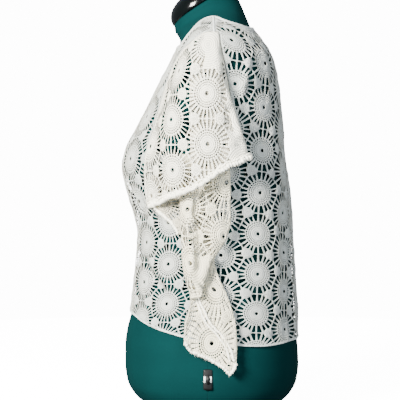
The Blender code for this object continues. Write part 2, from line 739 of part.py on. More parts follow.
def panel_outline(flat_map, back):
    """Give a panel's flat outline, from the hem's centre round to the neckline's centre and back."""
    towards = 1 if back else -1
    quarter = math.pi / 2
    centre = math.pi if back else 0.0

    def flat(angle, height):
        return flat_map.flat(angle, height)

    hem = [flat(a, edge_height(read_hem, a)) for a in np.linspace(centre, quarter, HEM_STATIONS)[:-1]]
    low = edge_height(read_hem, quarter)
    side = [flat(seam_angle(quarter, h, towards), h) for h in np.linspace(low, UNDERARM, SIDE_STATIONS)]
    bottom = []
    for degrees, height in ARMHOLE_BOTTOM:
        swing = 90 + (90 - degrees) * ARMHOLE_BACK_SHARE if back else degrees
        bottom.append(flat(seam_angle(math.radians(swing), height, towards), height))
    name = "back_angle" if back else "front_angle"
    armhole = []
    for height in armhole_heights():
        angle = math.radians(float(read_upper(height)[name]))
        armhole.append(flat(angle, height))
    armhole = moved_in(armhole, ARMHOLE_GAP)
    armhole[-1][1] += ARMHOLE_GAP
    top = edge_height(read_neckline, quarter)
    climb = np.linspace(SHOULDER_TIP, top, SHOULDER_STATIONS)
    shoulder = [flat(seam_angle(quarter, h, towards), h) for h in climb]
    turns = np.linspace(quarter, centre, NECK_STATIONS // 4 + 1)[1:]
    neck = [flat(a, edge_height(read_neckline, a)) for a in turns]
    half = even(hem, PANEL_SPACING * EDGE_SHARE) + side + bottom + armhole + shoulder + neck
    half = [np.asarray(p) for p in half]
    mirrored_half = [np.array([-p[0], p[1]]) for p in reversed(half)]
    return half + mirrored_half[1:-1]


def moved_in(run, gap):
    """Move an open run of points to its left by a gap."""
    run = np.asarray(run, float)
    along = unit(np.gradient(run, axis=0))
    return [np.array([p[0] - gap * d[1], p[1] + gap * d[0]]) for p, d in zip(run, along)]


def armhole_heights():
    return np.linspace(ARMHOLE_LOW, ARMHOLE_HIGH, ARMHOLE_STATIONS)


def body_panel(name, back, columns, rows, material):
    flat_map = PanelMap(back)
    outline = panel_outline(flat_map, back)
    gaps = large_gaps(outline, both_sides(columns), rows)
    grid, lines = staggered_points(outline, gaps, PANEL_SPACING)
    return cut_wall(name, outline, gaps, grid, lines, flat_map.place, material)


# Sleeves, made on the wearer's left
def upper_sections():
    heights = np.linspace(UPPER_SECTIONS[-1][0], UPPER_SECTIONS[0][0], UPPER_LEVELS)
    row = read_upper(heights)
    lift = UPPER_LIFT * np.clip((UPPER_LIFT_FROM - heights) / (UPPER_LIFT_FROM - UPPER_LIFT_TO), 0, 1)
    front, front_normal = top_point(np.radians(row["front_angle"]), heights)
    back, back_normal = top_point(np.radians(row["back_angle"]), heights)
    front = front + front_normal * lift[:, None]
    back = back + back_normal * lift[:, None]
    sections = []
    for k in range(len(heights)):
        swell = (row["swell_x"][k], row["swell_y"][k])
        crown = (row["crown_x"][k], row["crown_y"][k])
        fold = (row["fold_x"][k], row["fold_y"][k])
        sections.append([front[k, :2], swell, crown, fold, back[k, :2]])
    return heights, sections


def sleeve_upper(name, material):
    heights, sections = upper_sections()
    sheet = SheetMap(heights, sections, 2)
    seam = list(armhole_heights())
    low = list(np.linspace(UPPER_HEM[0][1], ARMHOLE_LOW, SLEEVE_LOW_STATIONS)[:-1])
    front = [(sheet.mark(h, 0), h) for h in low + seam]
    top = [(sheet.mark(heights[-1], number), heights[-1]) for number in (1, 2, 3)]
    back = [(sheet.mark(h, 4), h) for h in reversed([UPPER_HEM_BACK] + seam)]
    hem = [(sheet.find_y(h, y, 0, 3), h) for y, h in reversed(UPPER_HEM)]
    outline = joined(front, top, back, even(back[-1:] + hem, UPPER_SPACING * EDGE_SHARE))
    gaps = large_gaps(outline, UPPER_MOTIFS, UPPER_ROWS)
    grid, lines = fold_points(sheet, outline, gaps, np.arange(0.5, 3.6, 0.5), UPPER_SPACING)
    return cut_wall(name, outline, gaps, grid, lines, sheet.place, material)


def joined(*runs):
    """Give one closed outline from runs of points, without points that nearly meet."""
    outline = []
    for run in runs:
        for point in run:
            point = np.asarray(point, float)
            if not outline or np.linalg.norm(outline[-1] - point) > SAME_POINT:
                outline.append(point)
    if np.linalg.norm(outline[-1] - outline[0]) < SAME_POINT:
        outline.pop()
    return outline


def under_sections():
    heights = np.linspace(UNDER_SECTIONS[-1][0], UNDER_SECTIONS[0][0], UNDER_LEVELS)
    row = read_under(heights)
    side = np.maximum(read_top(heights)["half"], read_form(heights)["half"])
    row["inner"] = (row["turn"] + row["ridge"]) / 2
    seat = np.clip((heights - UNDER_SEAT_FROM) / (UNDER_SEAT_TO - UNDER_SEAT_FROM), 0, 1)
    sections = []
    for k in range(len(heights)):
        section = []
        for name, off in UNDER_OFF.items():
            if name in UNDER_RELIEVED:
                off = UNDER_LEVEL + (off - UNDER_LEVEL) * row["relief"][k]
            x = side[k] + UNDER_BASE + off * row["stand"][k]
            if name == "inner":
                x -= UNDER_SEAT * seat[k]
            section.append((x, row[name][k]))
        sections.append(section)
    return heights, sections


def sleeve_under(name, material):
    heights, sections = under_sections()
    sheet = SheetMap(heights, sections, 4)
    top = heights[-1]
    turned = [(sheet.mark(h, 0), h) for h in np.linspace(top, KNOT_HEIGHT, TURNED_STATIONS)]
    front = [(0.0, KNOT_HEIGHT - KNOT_DROP), (0.0, UNDER_HEM[0][1] + HEM_LIFT)]
    hem = [(sheet.find_y(h, y, 4, 7), h) for y, h in UNDER_HEM]
    rim = [(sheet.mark(h, 7), h) for h in np.linspace(RIM_LOW, top, RIM_STATIONS)]
    head = [(sheet.mark(top, number), top) for number in np.arange(6.5, 0, -0.5)]
    step = UNDER_SPACING * UNDER_EDGE_SHARE
    runs = (turned, turned[-1:] + front[:1], front, front[-1:] + hem, hem[-1:] + rim[:1], rim)
    outline = joined(*[even(run, step) for run in runs], head)
    gaps = large_gaps(outline, UNDER_MOTIFS, UNDER_ROWS)
    grid, lines = fold_points(sheet, outline, gaps, np.arange(0.5, 6.6, 0.5), UNDER_SPACING)
    return cut_wall(name, outline, gaps, grid, lines, sheet.place, material)


def mirrored(source, name):
    """Give the same piece for the wearer's right."""
    mesh = source.data.copy()
    mesh.name = name
    for vertex in mesh.vertices:
        vertex.co.x = -vertex.co.x
    mesh.flip_normals()
    thing = bpy.data.objects.new(name, mesh)
    bpy.context.scene.collection.objects.link(thing)
    return thing


# The strip round the neckline
def neck_binding(material):
    count = NECK_STATIONS
    half = BINDING_THICKNESS / 2
    rings = []
    for k in range(count):
        angle = 2 * math.pi * k / count
        signed = angle if angle <= math.pi else angle - 2 * math.pi
        height = edge_height(read_neckline, signed)
        turn = 2 * math.pi / count
        before = torso_point(read_top, signed - turn, edge_height(read_neckline, signed - turn))
        after = torso_point(read_top, signed + turn, edge_height(read_neckline, signed + turn))
        middle, normal = top_point(np.array([signed]), np.array([height]))
        along = unit(after - before)
        up = unit(np.cross(normal[0], along))
        start = middle[0] + up * BINDING_GAP
        end = start + up * BINDING_HEIGHT
        out = normal[0] * half
        rings.append([start - out, start + out, end + out, end - out])
    points = [p for ring in rings for p in ring]
    polygons = []
    for k in range(count):
        a = 4 * k
        b = 4 * ((k + 1) % count)
        for i in range(4):
            j = (i + 1) % 4
            polygons.append((a + i, b + i, b + j))
            polygons.append((a + i, b + j, a + j))
    return solid("neck_binding", points, polygons, material)


# The dress form and the cap on its neck
def ring_solid(name, rings, material, bottom, top):
    points = [p for ring in rings for p in ring]
    size = len(rings[0])
    polygons = []
    for k in range(len(rings) - 1):
        for i in range(size):
            j = (i + 1) % size
            polygons.append((k * size + i, k * size + j, (k + 1) * size + j, (k + 1) * size + i))
    points.append(bottom)
    low = len(points) - 1
    points.append(top)
    high = len(points) - 1
    last = (len(rings) - 1) * size
    for i in range(size):
        j = (i + 1) % size
        polygons.append((low, j, i))
        polygons.append((high, last + i, last + j))
    return solid(name, points, polygons, material)


def dress_form(material):
    angles = np.arange(FORM_SIDES) * 2 * math.pi / FORM_SIDES
    heights = [row[0] for row in FORM_SECTIONS]
    levels = []
    for low, high in zip(heights, heights[1:]):
        count = max(1, int(round((high - low) / FORM_LEVEL)))
        levels.extend(low + (high - low) * k / count for k in range(count))
    levels.append(heights[-1])
    rings = [list(torso_point(read_form, angles, np.full(FORM_SIDES, level))) for level in levels]
    bottom = np.mean(rings[0], axis=0)
    top = np.mean(rings[-1], axis=0)
    return ring_solid("dress_form", rings, material, bottom, top)


def neck_cap(material):
    angles = np.arange(CAP_SIDES) * 2 * math.pi / CAP_SIDES
    base = torso_point(read_form, angles, np.full(CAP_SIDES, FORM_SECTIONS[-1][0]))
    centre = base.mean(axis=0)
    tilt = math.atan(FORM_SECTIONS[-1][1])
    up = np.array([0.0, -math.sin(tilt), math.cos(tilt)])
    rings = []
    for k in range(CAP_RINGS):
        turn = math.pi / 2 * k / CAP_RINGS
        spread = CAP_SPREAD * math.cos(turn) ** CAP_SIDE_POWER
        rise = CAP_GAP + CAP_RISE * math.sin(turn) ** CAP_RISE_POWER
        rings.append([centre + (p - centre) * spread + up * rise for p in base])
    return ring_solid("neck_cap", rings, material, centre + up * CAP_GAP, centre + up * (CAP_GAP + CAP_RISE))


def build():
    for thing in list(bpy.data.objects):
        bpy.data.objects.remove(thing)
    lace = finish("crochet_cotton", (0.84, 0.82, 0.76), 0.9)
    covering = finish("form_cover", (0.012, 0.11, 0.105), 0.75)
    gloss = finish("cap_plastic", (0.006, 0.006, 0.007), 0.12)
    dress_form(covering)
    neck_cap(gloss)
    body_panel("top_front", False, FRONT_MOTIFS, FRONT_ROWS, lace)
    body_panel("top_back", True, BACK_MOTIFS, BACK_ROWS, lace)
    neck_binding(lace)
    upper = sleeve_upper("sleeve_upper_left", lace)
    mirrored(upper, "sleeve_upper_right")
    under = sleeve_under("sleeve_under_left", lace)
    mirrored(under, "sleeve_under_right")


build()
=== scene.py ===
# Crochet lace top with wide angel sleeves on a covered dress form, looks
# Metres, +Z up, the front faces -Y and the wearer's left is +X
import math
import random

import bmesh
import bpy
import numpy as np
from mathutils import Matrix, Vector
from mathutils.geometry import delaunay_2d_cdt


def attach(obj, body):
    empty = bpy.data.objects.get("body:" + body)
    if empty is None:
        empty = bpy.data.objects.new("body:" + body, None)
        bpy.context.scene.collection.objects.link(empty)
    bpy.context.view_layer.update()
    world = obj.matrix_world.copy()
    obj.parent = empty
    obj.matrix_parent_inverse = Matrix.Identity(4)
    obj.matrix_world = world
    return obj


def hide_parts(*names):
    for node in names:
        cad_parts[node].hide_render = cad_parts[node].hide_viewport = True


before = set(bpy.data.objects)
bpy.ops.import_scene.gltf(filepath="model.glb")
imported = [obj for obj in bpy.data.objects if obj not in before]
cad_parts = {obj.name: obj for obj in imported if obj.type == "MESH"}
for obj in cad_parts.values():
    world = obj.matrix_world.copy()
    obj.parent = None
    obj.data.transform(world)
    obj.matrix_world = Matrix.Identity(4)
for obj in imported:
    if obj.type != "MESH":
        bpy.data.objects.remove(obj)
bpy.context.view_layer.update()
print("frame loaded")

# camera and studio
studio = {
    "eye": (2.0, -0.0175, 0.364),  # level view of the wearer's left side
    "fieldWide": 0.70,  # width of the view at the form's middle
    "key": {"at": (2.3, -1.7, 1.3), "power": 580, "size": 0.8, "tone": (1.0, 0.985, 0.93)},
    "fill": {"at": (2.4, 1.1, 0.9), "power": 82, "size": 1.6, "tone": (0.84, 0.92, 1.0)},
    "top": {"at": (0.3, -0.8, 2.4), "power": 16, "size": 1.2, "tone": (1.0, 1.0, 1.0)},
    "aim": (0.0, 0.0, 0.36),
    "ambient": 0.32,
    "ambientTone": (0.85, 0.93, 1.0),
    "paperGlow": 14.0,
    "floorTone": 0.93,
    "floorReach": 1.6,
    "floorHeight": -0.0006,
    "backdropReach": 7.0,
}


def link(thing):
    bpy.context.scene.collection.objects.link(thing)
    return thing


def makeCamera():
    data = bpy.data.cameras.new("camera")
    data.sensor_width = 36
    data.lens = 36 * studio["eye"][0] / studio["fieldWide"]
    camera = link(bpy.data.objects.new("camera", data))
    camera.location = studio["eye"]
    camera.rotation_euler = (math.radians(90), 0, math.radians(90))
    bpy.context.scene.camera = camera


def makeLight(name, spot):
    data = bpy.data.lights.new(name, "AREA")
    data.energy = spot["power"]
    data.size = spot["size"]
    data.color = spot["tone"]
    lamp = link(bpy.data.objects.new(name, data))
    lamp.location = spot["at"]
    aim = Vector(studio["aim"]) - lamp.location
    lamp.rotation_euler = aim.to_track_quat("-Z", "Y").to_euler()


def plainGlow(name, tone, glow):
    material = bpy.data.materials.new(name)
    material.use_nodes = True
    shader = material.node_tree.nodes["Principled BSDF"]
    shader.inputs["Base Color"].default_value = (tone, tone, tone, 1)
    shader.inputs["Roughness"].default_value = 0.8
    shader.inputs["Emission Color"].default_value = (1, 1, 1, 1)
    shader.inputs["Emission Strength"].default_value = glow
    return material


def makeStudio():
    makeCamera()
    for name in ("key", "fill", "top"):
        makeLight(name, studio[name])
    bpy.ops.mesh.primitive_circle_add(
        vertices=96,
        radius=studio["floorReach"],
        fill_type="NGON",
        location=(0, 0, studio["floorHeight"]),
    )
    floor = bpy.context.object
    floor.name = "studioFloor"
    floor.data.materials.append(plainGlow("floorPaper", studio["floorTone"], studio["paperGlow"]))
    reach = studio["backdropReach"]
    bpy.ops.mesh.primitive_uv_sphere_add(segments=48, ring_count=24, radius=reach, location=(0, 0, 0.3))
    dome = bpy.context.object
    dome.name = "studioBackdrop"
    dome.data.materials.append(plainGlow("backdropPaper", 0.0, studio["paperGlow"]))
    for paper in (floor, dome):  # bright white paper that throws no light back
        paper.visible_diffuse = False
        paper.visible_glossy = False
        paper.visible_transmission = False
    dome.visible_shadow = False
    world = bpy.data.worlds.new("studioAir")
    bpy.context.scene.world = world
    world.use_nodes = True
    air = world.node_tree.nodes["Background"]
    air.inputs[0].default_value = (*studio["ambientTone"], 1)
    air.inputs[1].default_value = studio["ambient"]


makeStudio()
print("studio ready")


# smooth curves through the rows of a table
def slopes(knots, values):
    step = np.diff(knots)[:, None]
    chord = np.diff(values, axis=0) / step
    tangent = np.zeros_like(values)
    tangent[0] = chord[0]
    tangent[-1] = chord[-1]
    before = chord[:-1]
    after = chord[1:]
    same = before * after > 0
    total = np.where(same, before + after, 1.0)
    tangent[1:-1] = np.where(same, 2 * before * after / total, 0.0)
    return tangent


def smoothCurve(knots, values, at):
    knots = np.asarray(knots, float)
    values = np.asarray(values, float).reshape(len(knots), -1)
    at = np.clip(np.asarray(at, float), knots[0], knots[-1])
    tangent = slopes(knots, values)
    i = np.clip(np.searchsorted(knots, at, side="right") - 1, 0, len(knots) - 2)
    step = (knots[i + 1] - knots[i])[..., None]
    u = ((at - knots[i])[..., None]) / step
    start = (1 + 2 * u) * (1 - u) ** 2 * values[i] + u * (1 - u) ** 2 * step * tangent[i]
    end = u * u * (3 - 2 * u) * values[i + 1] + u * u * (u - 1) * step * tangent[i + 1]
    return start + end


def tableReader(names, rows):
    rows = np.array(sorted(rows), float)

    def read(at):
        found = smoothCurve(rows[:, 0], rows[:, 1:], at)
        return {name: found[..., k] for k, name in enumerate(names[1:])}

    return read


# level sections of the form and of the worn top: height at the side line, rise per metre to the back,
# side line, front and back along Y, half width, power of the rounded outline
sectionNames = ("height", "tilt", "side", "front", "back", "half", "power")
formSections = (
    (0.000, 0.00, 0.003, -0.0780, 0.0840, 0.1150, 2.2),
    (0.014, 0.00, 0.003, -0.1085, 0.1145, 0.1460, 2.2),
    (0.034, 0.00, 0.003, -0.1330, 0.1390, 0.1680, 2.2),
    (0.055, 0.00, 0.003, -0.1440, 0.1500, 0.1785, 2.2),
    (0.082, 0.00, 0.003, -0.1475, 0.1535, 0.1825, 2.2),
    (0.115, 0.00, 0.003, -0.1475, 0.1520, 0.1815, 2.2),
    (0.142, 0.00, 0.003, -0.1440, 0.1480, 0.1765, 2.2),
    (0.174, 0.00, 0.002, -0.1355, 0.1450, 0.1735, 2.2),
    (0.230, 0.00, 0.001, -0.1260, 0.1410, 0.1590, 2.2),
    (0.310, 0.00, 0.000, -0.1200, 0.1370, 0.1480, 2.2),
    (0.360, 0.00, 0.000, -0.1300, 0.1330, 0.1490, 2.2),
    (0.400, 0.00, 0.000, -0.1430, 0.1290, 0.1530, 2.3),
    (0.424, 0.00, 0.000, -0.1503, 0.1245, 0.1560, 2.3),
    (0.453, 0.00, 0.000, -0.1435, 0.1253, 0.1600, 2.3),
    (0.501, 0.00, 0.001, -0.1180, 0.1225, 0.1635, 2.3),
    (0.557, 0.00, 0.002, -0.0900, 0.1175, 0.1690, 2.3),
    (0.600, 0.00, 0.003, -0.0670, 0.1085, 0.1705, 2.3),
    (0.620, 0.02, 0.004, -0.0585, 0.0993, 0.1670, 2.1),
    (0.638, 0.08, 0.005, -0.0530, 0.0835, 0.1520, 2.0),
    (0.650, 0.14, 0.005, -0.0520, 0.0725, 0.1320, 2.0),
    (0.661, 0.22, 0.005, -0.0540, 0.0665, 0.1120, 2.0),
    (0.671, 0.30, 0.005, -0.0568, 0.0610, 0.0900, 2.0),
    (0.680, 0.40, 0.003, -0.0590, 0.0560, 0.0690, 2.0),
    (0.690, 0.52, -0.003, -0.0612, 0.0485, 0.0565, 2.0),
    (0.7015, 0.62, -0.012, -0.0625, 0.0385, 0.0535, 2.0),
)
topSections = (
    (0.100, 0.00, 0.003, -0.1510, 0.1570, 0.1870, 2.2),
    (0.130, 0.00, 0.003, -0.1490, 0.1530, 0.1828, 2.2),
    (0.152, 0.00, 0.002, -0.1445, 0.1518, 0.1802, 2.2),
    (0.174, 0.00, 0.002, -0.1388, 0.1508, 0.1780, 2.2),
    (0.222, 0.00, 0.001, -0.1330, 0.1478, 0.1735, 2.25),
    (0.260, 0.00, 0.000, -0.1292, 0.1458, 0.1700, 2.3),
    (0.306, 0.00, 0.000, -0.1262, 0.1425, 0.1660, 2.3),
    (0.340, 0.00, 0.000, -0.1330, 0.1398, 0.1640, 2.3),
    (0.369, 0.00, 0.000, -0.1418, 0.1375, 0.1635, 2.35),
    (0.394, 0.00, 0.000, -0.1485, 0.1350, 0.1640, 2.4),
    (0.421, 0.00, 0.000, -0.1532, 0.1325, 0.1650, 2.4),
    (0.453, 0.00, 0.000, -0.1468, 0.1290, 0.1660, 2.35),
    (0.487, 0.00, 0.001, -0.1292, 0.1275, 0.1670, 2.3),
    (0.521, 0.00, 0.001, -0.1112, 0.1242, 0.1685, 2.3),
    (0.557, 0.00, 0.002, -0.0933, 0.1200, 0.1720, 2.3),
    (0.600, 0.00, 0.003, -0.0705, 0.1118, 0.1745, 2.3),
    (0.620, 0.02, 0.004, -0.0617, 0.1028, 0.1720, 2.1),
    (0.638, 0.08, 0.005, -0.0565, 0.0872, 0.1605, 2.0),
    (0.650, 0.14, 0.005, -0.0557, 0.0762, 0.1410, 2.0),
    (0.661, 0.22, 0.005, -0.0577, 0.0700, 0.1210, 2.0),
    (0.671, 0.30, 0.005, -0.0603, 0.0648, 0.0990, 2.0),
    (0.680, 0.40, 0.003, -0.0624, 0.0597, 0.0770, 2.0),
    (0.690, 0.52, -0.003, -0.0648, 0.0520, 0.0615, 2.0),
)

# heights of the neckline and the hem at degrees from the centre front to the centre back
edgeNames = ("angle", "height")
necklineRows = (
    (0, 0.6280),
    (25, 0.6255),
    (45, 0.6215),
    (57, 0.6200),
    (62, 0.6255),
    (66, 0.6317),
    (72, 0.6437),
    (76, 0.6567),
    (80, 0.6667),
    (84, 0.6697),
    (88, 0.6677),
    (92, 0.6627),
    (96, 0.6557),
    (102, 0.6497),
    (110, 0.6450),
    (118, 0.6420),
    (140, 0.6450),
    (160, 0.6480),
    (180, 0.6495),
)
hemRows = (
    (0, 0.1745),
    (30, 0.1712),
    (60, 0.1545),
    (90, 0.1370),
    (120, 0.1285),
    (150, 0.1310),
    (180, 0.1295),
)
readForm = tableReader(sectionNames, formSections)
readTop = tableReader(sectionNames, topSections)
readNeckline = tableReader(edgeNames, necklineRows)
readHem = tableReader(edgeNames, hemRows)


# a point on a torso by angle from the centre front to the wearer's left, and by height
def torsoPoint(read, angle, height):
    angle = np.asarray(angle, float)
    height = np.asarray(height, float)
    row = read(height)
    sine = np.sin(angle)
    cosine = np.cos(angle)
    depth = np.where(cosine > 0, row["side"] - row["front"], row["back"] - row["side"])
    across = np.abs(sine / row["half"]) ** row["power"]
    along = np.abs(cosine / depth) ** row["power"]
    radius = (across + along) ** (-1 / row["power"])
    x = radius * sine
    y = row["side"] - radius * cosine
    z = height + row["tilt"] * (y - row["side"])
    return np.stack([x, y, z], axis=-1)


# broad drape of the panels: from one place by degrees and height to another, then its rise and width,
# where a rise below 0 makes a trough
drapeRows = (
    (152, 0.300, 150, 0.130, 0.0030, 0.014),
    (141, 0.330, 140, 0.160, -0.0035, 0.014),
    (133, 0.470, 136, 0.390, 0.0030, 0.013),
    (113, 0.585, 109, 0.490, 0.0035, 0.012),
    (48, 0.262, 62, 0.212, -0.0040, 0.012),
    (27, 0.386, 40, 0.345, -0.0040, 0.013),
    (170, 0.380, 174, 0.180, 0.0030, 0.018),
    (-147, 0.320, -150, 0.150, 0.0032, 0.015),
    (-127, 0.450, -133, 0.350, -0.0035, 0.014),
    (-112, 0.580, -107, 0.500, 0.0032, 0.012),
    (-54, 0.300, -66, 0.215, -0.0040, 0.013),
    (-22, 0.380, -36, 0.330, -0.0035, 0.013),
    (-12, 0.250, -9, 0.180, 0.0025, 0.016),
)
drapeRadius = 0.15  # turns angles into lengths round the body


def foldRise(rows, across, up):
    total = np.zeros(np.shape(across))
    for fromAcross, fromUp, toAcross, toUp, rise, width in rows:
        start = np.array([fromAcross, fromUp])
        end = np.array([toAcross, toUp])
        length = np.linalg.norm(end - start)
        line = (end - start) / length
        overAcross = across - start[0]
        overUp = up - start[1]
        along = overAcross * line[0] + overUp * line[1]
        aside = overAcross * line[1] - overUp * line[0]
        past = np.maximum(np.maximum(-along, along - length), 0)
        fade = (aside / width) ** 2 + (past / (1.5 * width)) ** 2
        total = total + rise * np.exp(-fade)
    return total


def drape(angle, height):
    rows = []
    for fromAngle, fromHeight, toAngle, toHeight, rise, width in drapeRows:
        start = math.radians(fromAngle) * drapeRadius
        end = math.radians(toAngle) * drapeRadius
        rows.append((start, fromHeight, end, toHeight, rise, width))
    return foldRise(rows, np.asarray(angle) * drapeRadius, height)


def unit(vectors):
    return vectors / np.maximum(np.linalg.norm(vectors, axis=-1, keepdims=True), 1e-12)


def normalOf(surface, across, up, step):
    side = surface(across + step, up) - surface(across - step, up)
    rise = surface(across, up + step) - surface(across, up - step)
    return unit(np.cross(side, rise))


def topPoint(angle, height):
    def bare(a, h):
        return torsoPoint(readTop, a, h)

    def draped(a, h):
        return bare(a, h) + normalOf(bare, a, h, 0.002) * drape(a, h)[..., None]

    return draped(angle, height), normalOf(draped, angle, height, 0.004)


# keeps cloth off the form, measured straight out from its middle
def pushOffForm(points, clear):
    x, y, z = points.T
    height = z.copy()
    for _ in range(6):
        row = readForm(height)
        height = z - row["tilt"] * (y - row["side"])
    row = readForm(height)
    angle = np.arctan2(x, row["side"] - y)
    onForm = torsoPoint(readForm, angle, height)
    formReach = np.hypot(onForm[:, 0], onForm[:, 1] - row["side"])
    reach = np.maximum(np.hypot(x, y - row["side"]), 1e-6)
    grow = np.maximum((formReach + clear) / reach, 1.0)
    return np.stack([x * grow, row["side"] + (y - row["side"]) * grow, z], axis=1)


# flat measure of a body panel: across round the section from its centre line, up along the cloth
class PanelMap:
    heights = np.linspace(0.110, 0.689, 291)
    swings = np.linspace(0, math.pi / 2, 181)
    acrosses = np.linspace(0, 0.30, 151)

    def __init__(self, back):
        self.back = back
        swing, height = np.meshgrid(self.swings, self.heights)
        points = torsoPoint(readTop, self.angle(swing), height)
        steps = np.linalg.norm(np.diff(points, axis=1), axis=2)
        self.arcs = np.concatenate([np.zeros((len(self.heights), 1)), np.cumsum(steps, axis=1)], axis=1)
        columns = []
        for across in self.acrosses:
            swings = np.array([np.interp(across, arc, self.swings) for arc in self.arcs])
            line = torsoPoint(readTop, self.angle(swings), self.heights)
            lengths = np.linalg.norm(np.diff(line, axis=0), axis=1)
            columns.append(self.heights[0] + np.concatenate([[0], np.cumsum(lengths)]))
        self.ups = np.array(columns)

    def angle(self, swing):
        return math.pi - swing if self.back else swing

    def flat(self, angle, height):
        swing = math.pi - abs(angle) if self.back else abs(angle)
        k = np.clip(np.searchsorted(self.heights, height) - 1, 0, len(self.heights) - 2)
        u = (height - self.heights[k]) / (self.heights[k + 1] - self.heights[k])
        low = np.interp(swing, self.swings, self.arcs[k])
        high = np.interp(swing, self.swings, self.arcs[k + 1])
        across = low + (high - low) * u
        j = min(int(across / self.acrosses[1]), len(self.acrosses) - 2)
        v = across / self.acrosses[1] - j
        first = np.interp(height, self.heights, self.ups[j])
        second = np.interp(height, self.heights, self.ups[j + 1])
        return math.copysign(across, angle), first + (second - first) * v

    def place(self, across, up):
        angles = []
        heights = []
        for a, b in zip(across, up):
            size = abs(a)
            j = min(int(size / self.acrosses[1]), len(self.acrosses) - 2)
            v = size / self.acrosses[1] - j
            first = np.interp(b, self.ups[j], self.heights)
            second = np.interp(b, self.ups[j + 1], self.heights)
            height = first + (second - first) * v
            k = int(np.clip(np.searchsorted(self.heights, height) - 1, 0, len(self.heights) - 2))
            u = (height - self.heights[k]) / (self.heights[k + 1] - self.heights[k])
            low = np.interp(size, self.arcs[k], self.swings)
            high = np.interp(size, self.arcs[k + 1], self.swings)
            angles.append(math.copysign(self.angle(low + (high - low) * u), a))
            heights.append(height)
        return topPoint(np.array(angles), np.array(heights))


def rounded(points, at):
    points = np.asarray(points, float)
    ends = np.vstack([2 * points[0] - points[1], points, 2 * points[-1] - points[-2]])
    i = np.clip(at.astype(int), 0, len(points) - 2)
    u = (at - i)[:, None]
    a, b, c, d = ends[i], ends[i + 1], ends[i + 2], ends[i + 3]
    squared = 2 * a - 5 * b + 4 * c - d
    cubed = 3 * b - a - 3 * c + d
    return 0.5 * (2 * b + (c - a) * u + squared * u**2 + cubed * u**3)


# a hanging sheet from level sections: along is the length round a section from its reference line
class SheetMap:
    fine = np.linspace(0, 1, 12, endpoint=False)
    step = 0.0015  # for its slopes

    def __init__(self, heights, sections, reference):
        self.heights = heights
        self.sections = []
        self.lengths = []
        for points in sections:
            last = len(points) - 1
            at = np.concatenate([np.add.outer(np.arange(last), self.fine).ravel(), [last]])
            line = rounded(points, at)
            length = np.concatenate([[0], np.cumsum(np.linalg.norm(np.diff(line, axis=0), axis=1))])
            self.sections.append(line)
            self.lengths.append(length - np.interp(reference, at, length))
        self.at = at

    def line(self, k, along):
        section = self.sections[k]
        return np.stack([np.interp(along, self.lengths[k], section[:, i]) for i in (0, 1)], axis=-1)

    def mark(self, height, number):
        marks = [np.interp(number, self.at, length) for length in self.lengths]
        return float(np.interp(height, self.heights, marks))

    def findY(self, height, y, first, last):
        k = int(np.clip(np.searchsorted(self.heights, height), 0, len(self.heights) - 1))
        inRange = (self.at >= first) & (self.at <= last)
        return float(np.interp(y, self.sections[k][inRange, 1], self.lengths[k][inRange]))

    def middle(self, along, height):
        k = np.clip(np.searchsorted(self.heights, height) - 1, 0, len(self.heights) - 2)
        u = np.clip((height - self.heights[k]) / (self.heights[k + 1] - self.heights[k]), 0, 1)
        points = np.empty((len(along), 3))
        for level in np.unique(k):
            here = k == level
            v = u[here][:, None]
            low = self.line(level, along[here])
            high = self.line(level + 1, along[here])
            points[here, :2] = low * (1 - v) + high * v
        points[:, 2] = height
        return points

    def place(self, along, height):
        along = np.asarray(along, float)
        height = np.asarray(height, float)
        step = self.step
        side = self.middle(along + step, height) - self.middle(along - step, height)
        rise = self.middle(along, height + step) - self.middle(along, height - step)
        rise[:, 2] = np.maximum(rise[:, 2], step)
        return self.middle(along, height), unit(np.cross(side, rise))


# points at even steps along a flat line
def even(points, spacing):
    points = np.asarray(points, float)
    length = np.concatenate([[0], np.cumsum(np.linalg.norm(np.diff(points, axis=0), axis=1))])
    at = np.linspace(0, length[-1], max(2, int(round(length[-1] / spacing)) + 1))
    return [np.array([np.interp(t, length, points[:, i]) for i in (0, 1)]) for t in at]


def inside(points, outline):
    points = np.asarray(points, float)
    outline = np.asarray(outline, float)
    x, y = points[:, 0][:, None], points[:, 1][:, None]
    ax, ay = outline[:, 0], outline[:, 1]
    bx, by = np.roll(ax, -1), np.roll(ay, -1)
    level = (ay > y) != (by > y)
    rise = np.where(by == ay, 1e-12, by - ay)
    cross = x < (bx - ax) * (y - ay) / rise + ax
    return (level & cross).sum(axis=1) % 2 == 1


def distance(points, outline):
    points = np.asarray(points, float)[:, None, :]
    start = np.asarray(outline, float)
    line = np.roll(start, -1, axis=0) - start
    size = np.maximum((line**2).sum(axis=1), 1e-18)
    t = np.clip(((points - start) * line).sum(axis=2) / size, 0, 1)
    return np.linalg.norm(points - (start + t[..., None] * line), axis=2).min(axis=1)


def depthIn(points, outline):
    points = np.asarray(points, float)
    found = np.empty(len(points))
    for first in range(0, len(points), 4000):
        part = points[first : first + 4000]
        found[first : first + 4000] = np.where(inside(part, outline), 1, -1) * distance(part, outline)
    return found


def flatArea(outline):
    x, y = np.asarray(outline, float).T
    return 0.5 * abs(np.dot(x, np.roll(y, -1)) - np.dot(y, np.roll(x, -1)))


samePoint = 0.0008


def joined(*runs):
    outline = []
    for run in runs:
        for point in run:
            point = np.asarray(point, float)
            if not outline or np.linalg.norm(outline[-1] - point) > samePoint:
                outline.append(point)
    if np.linalg.norm(outline[-1] - outline[0]) < samePoint:
        outline.pop()
    return outline


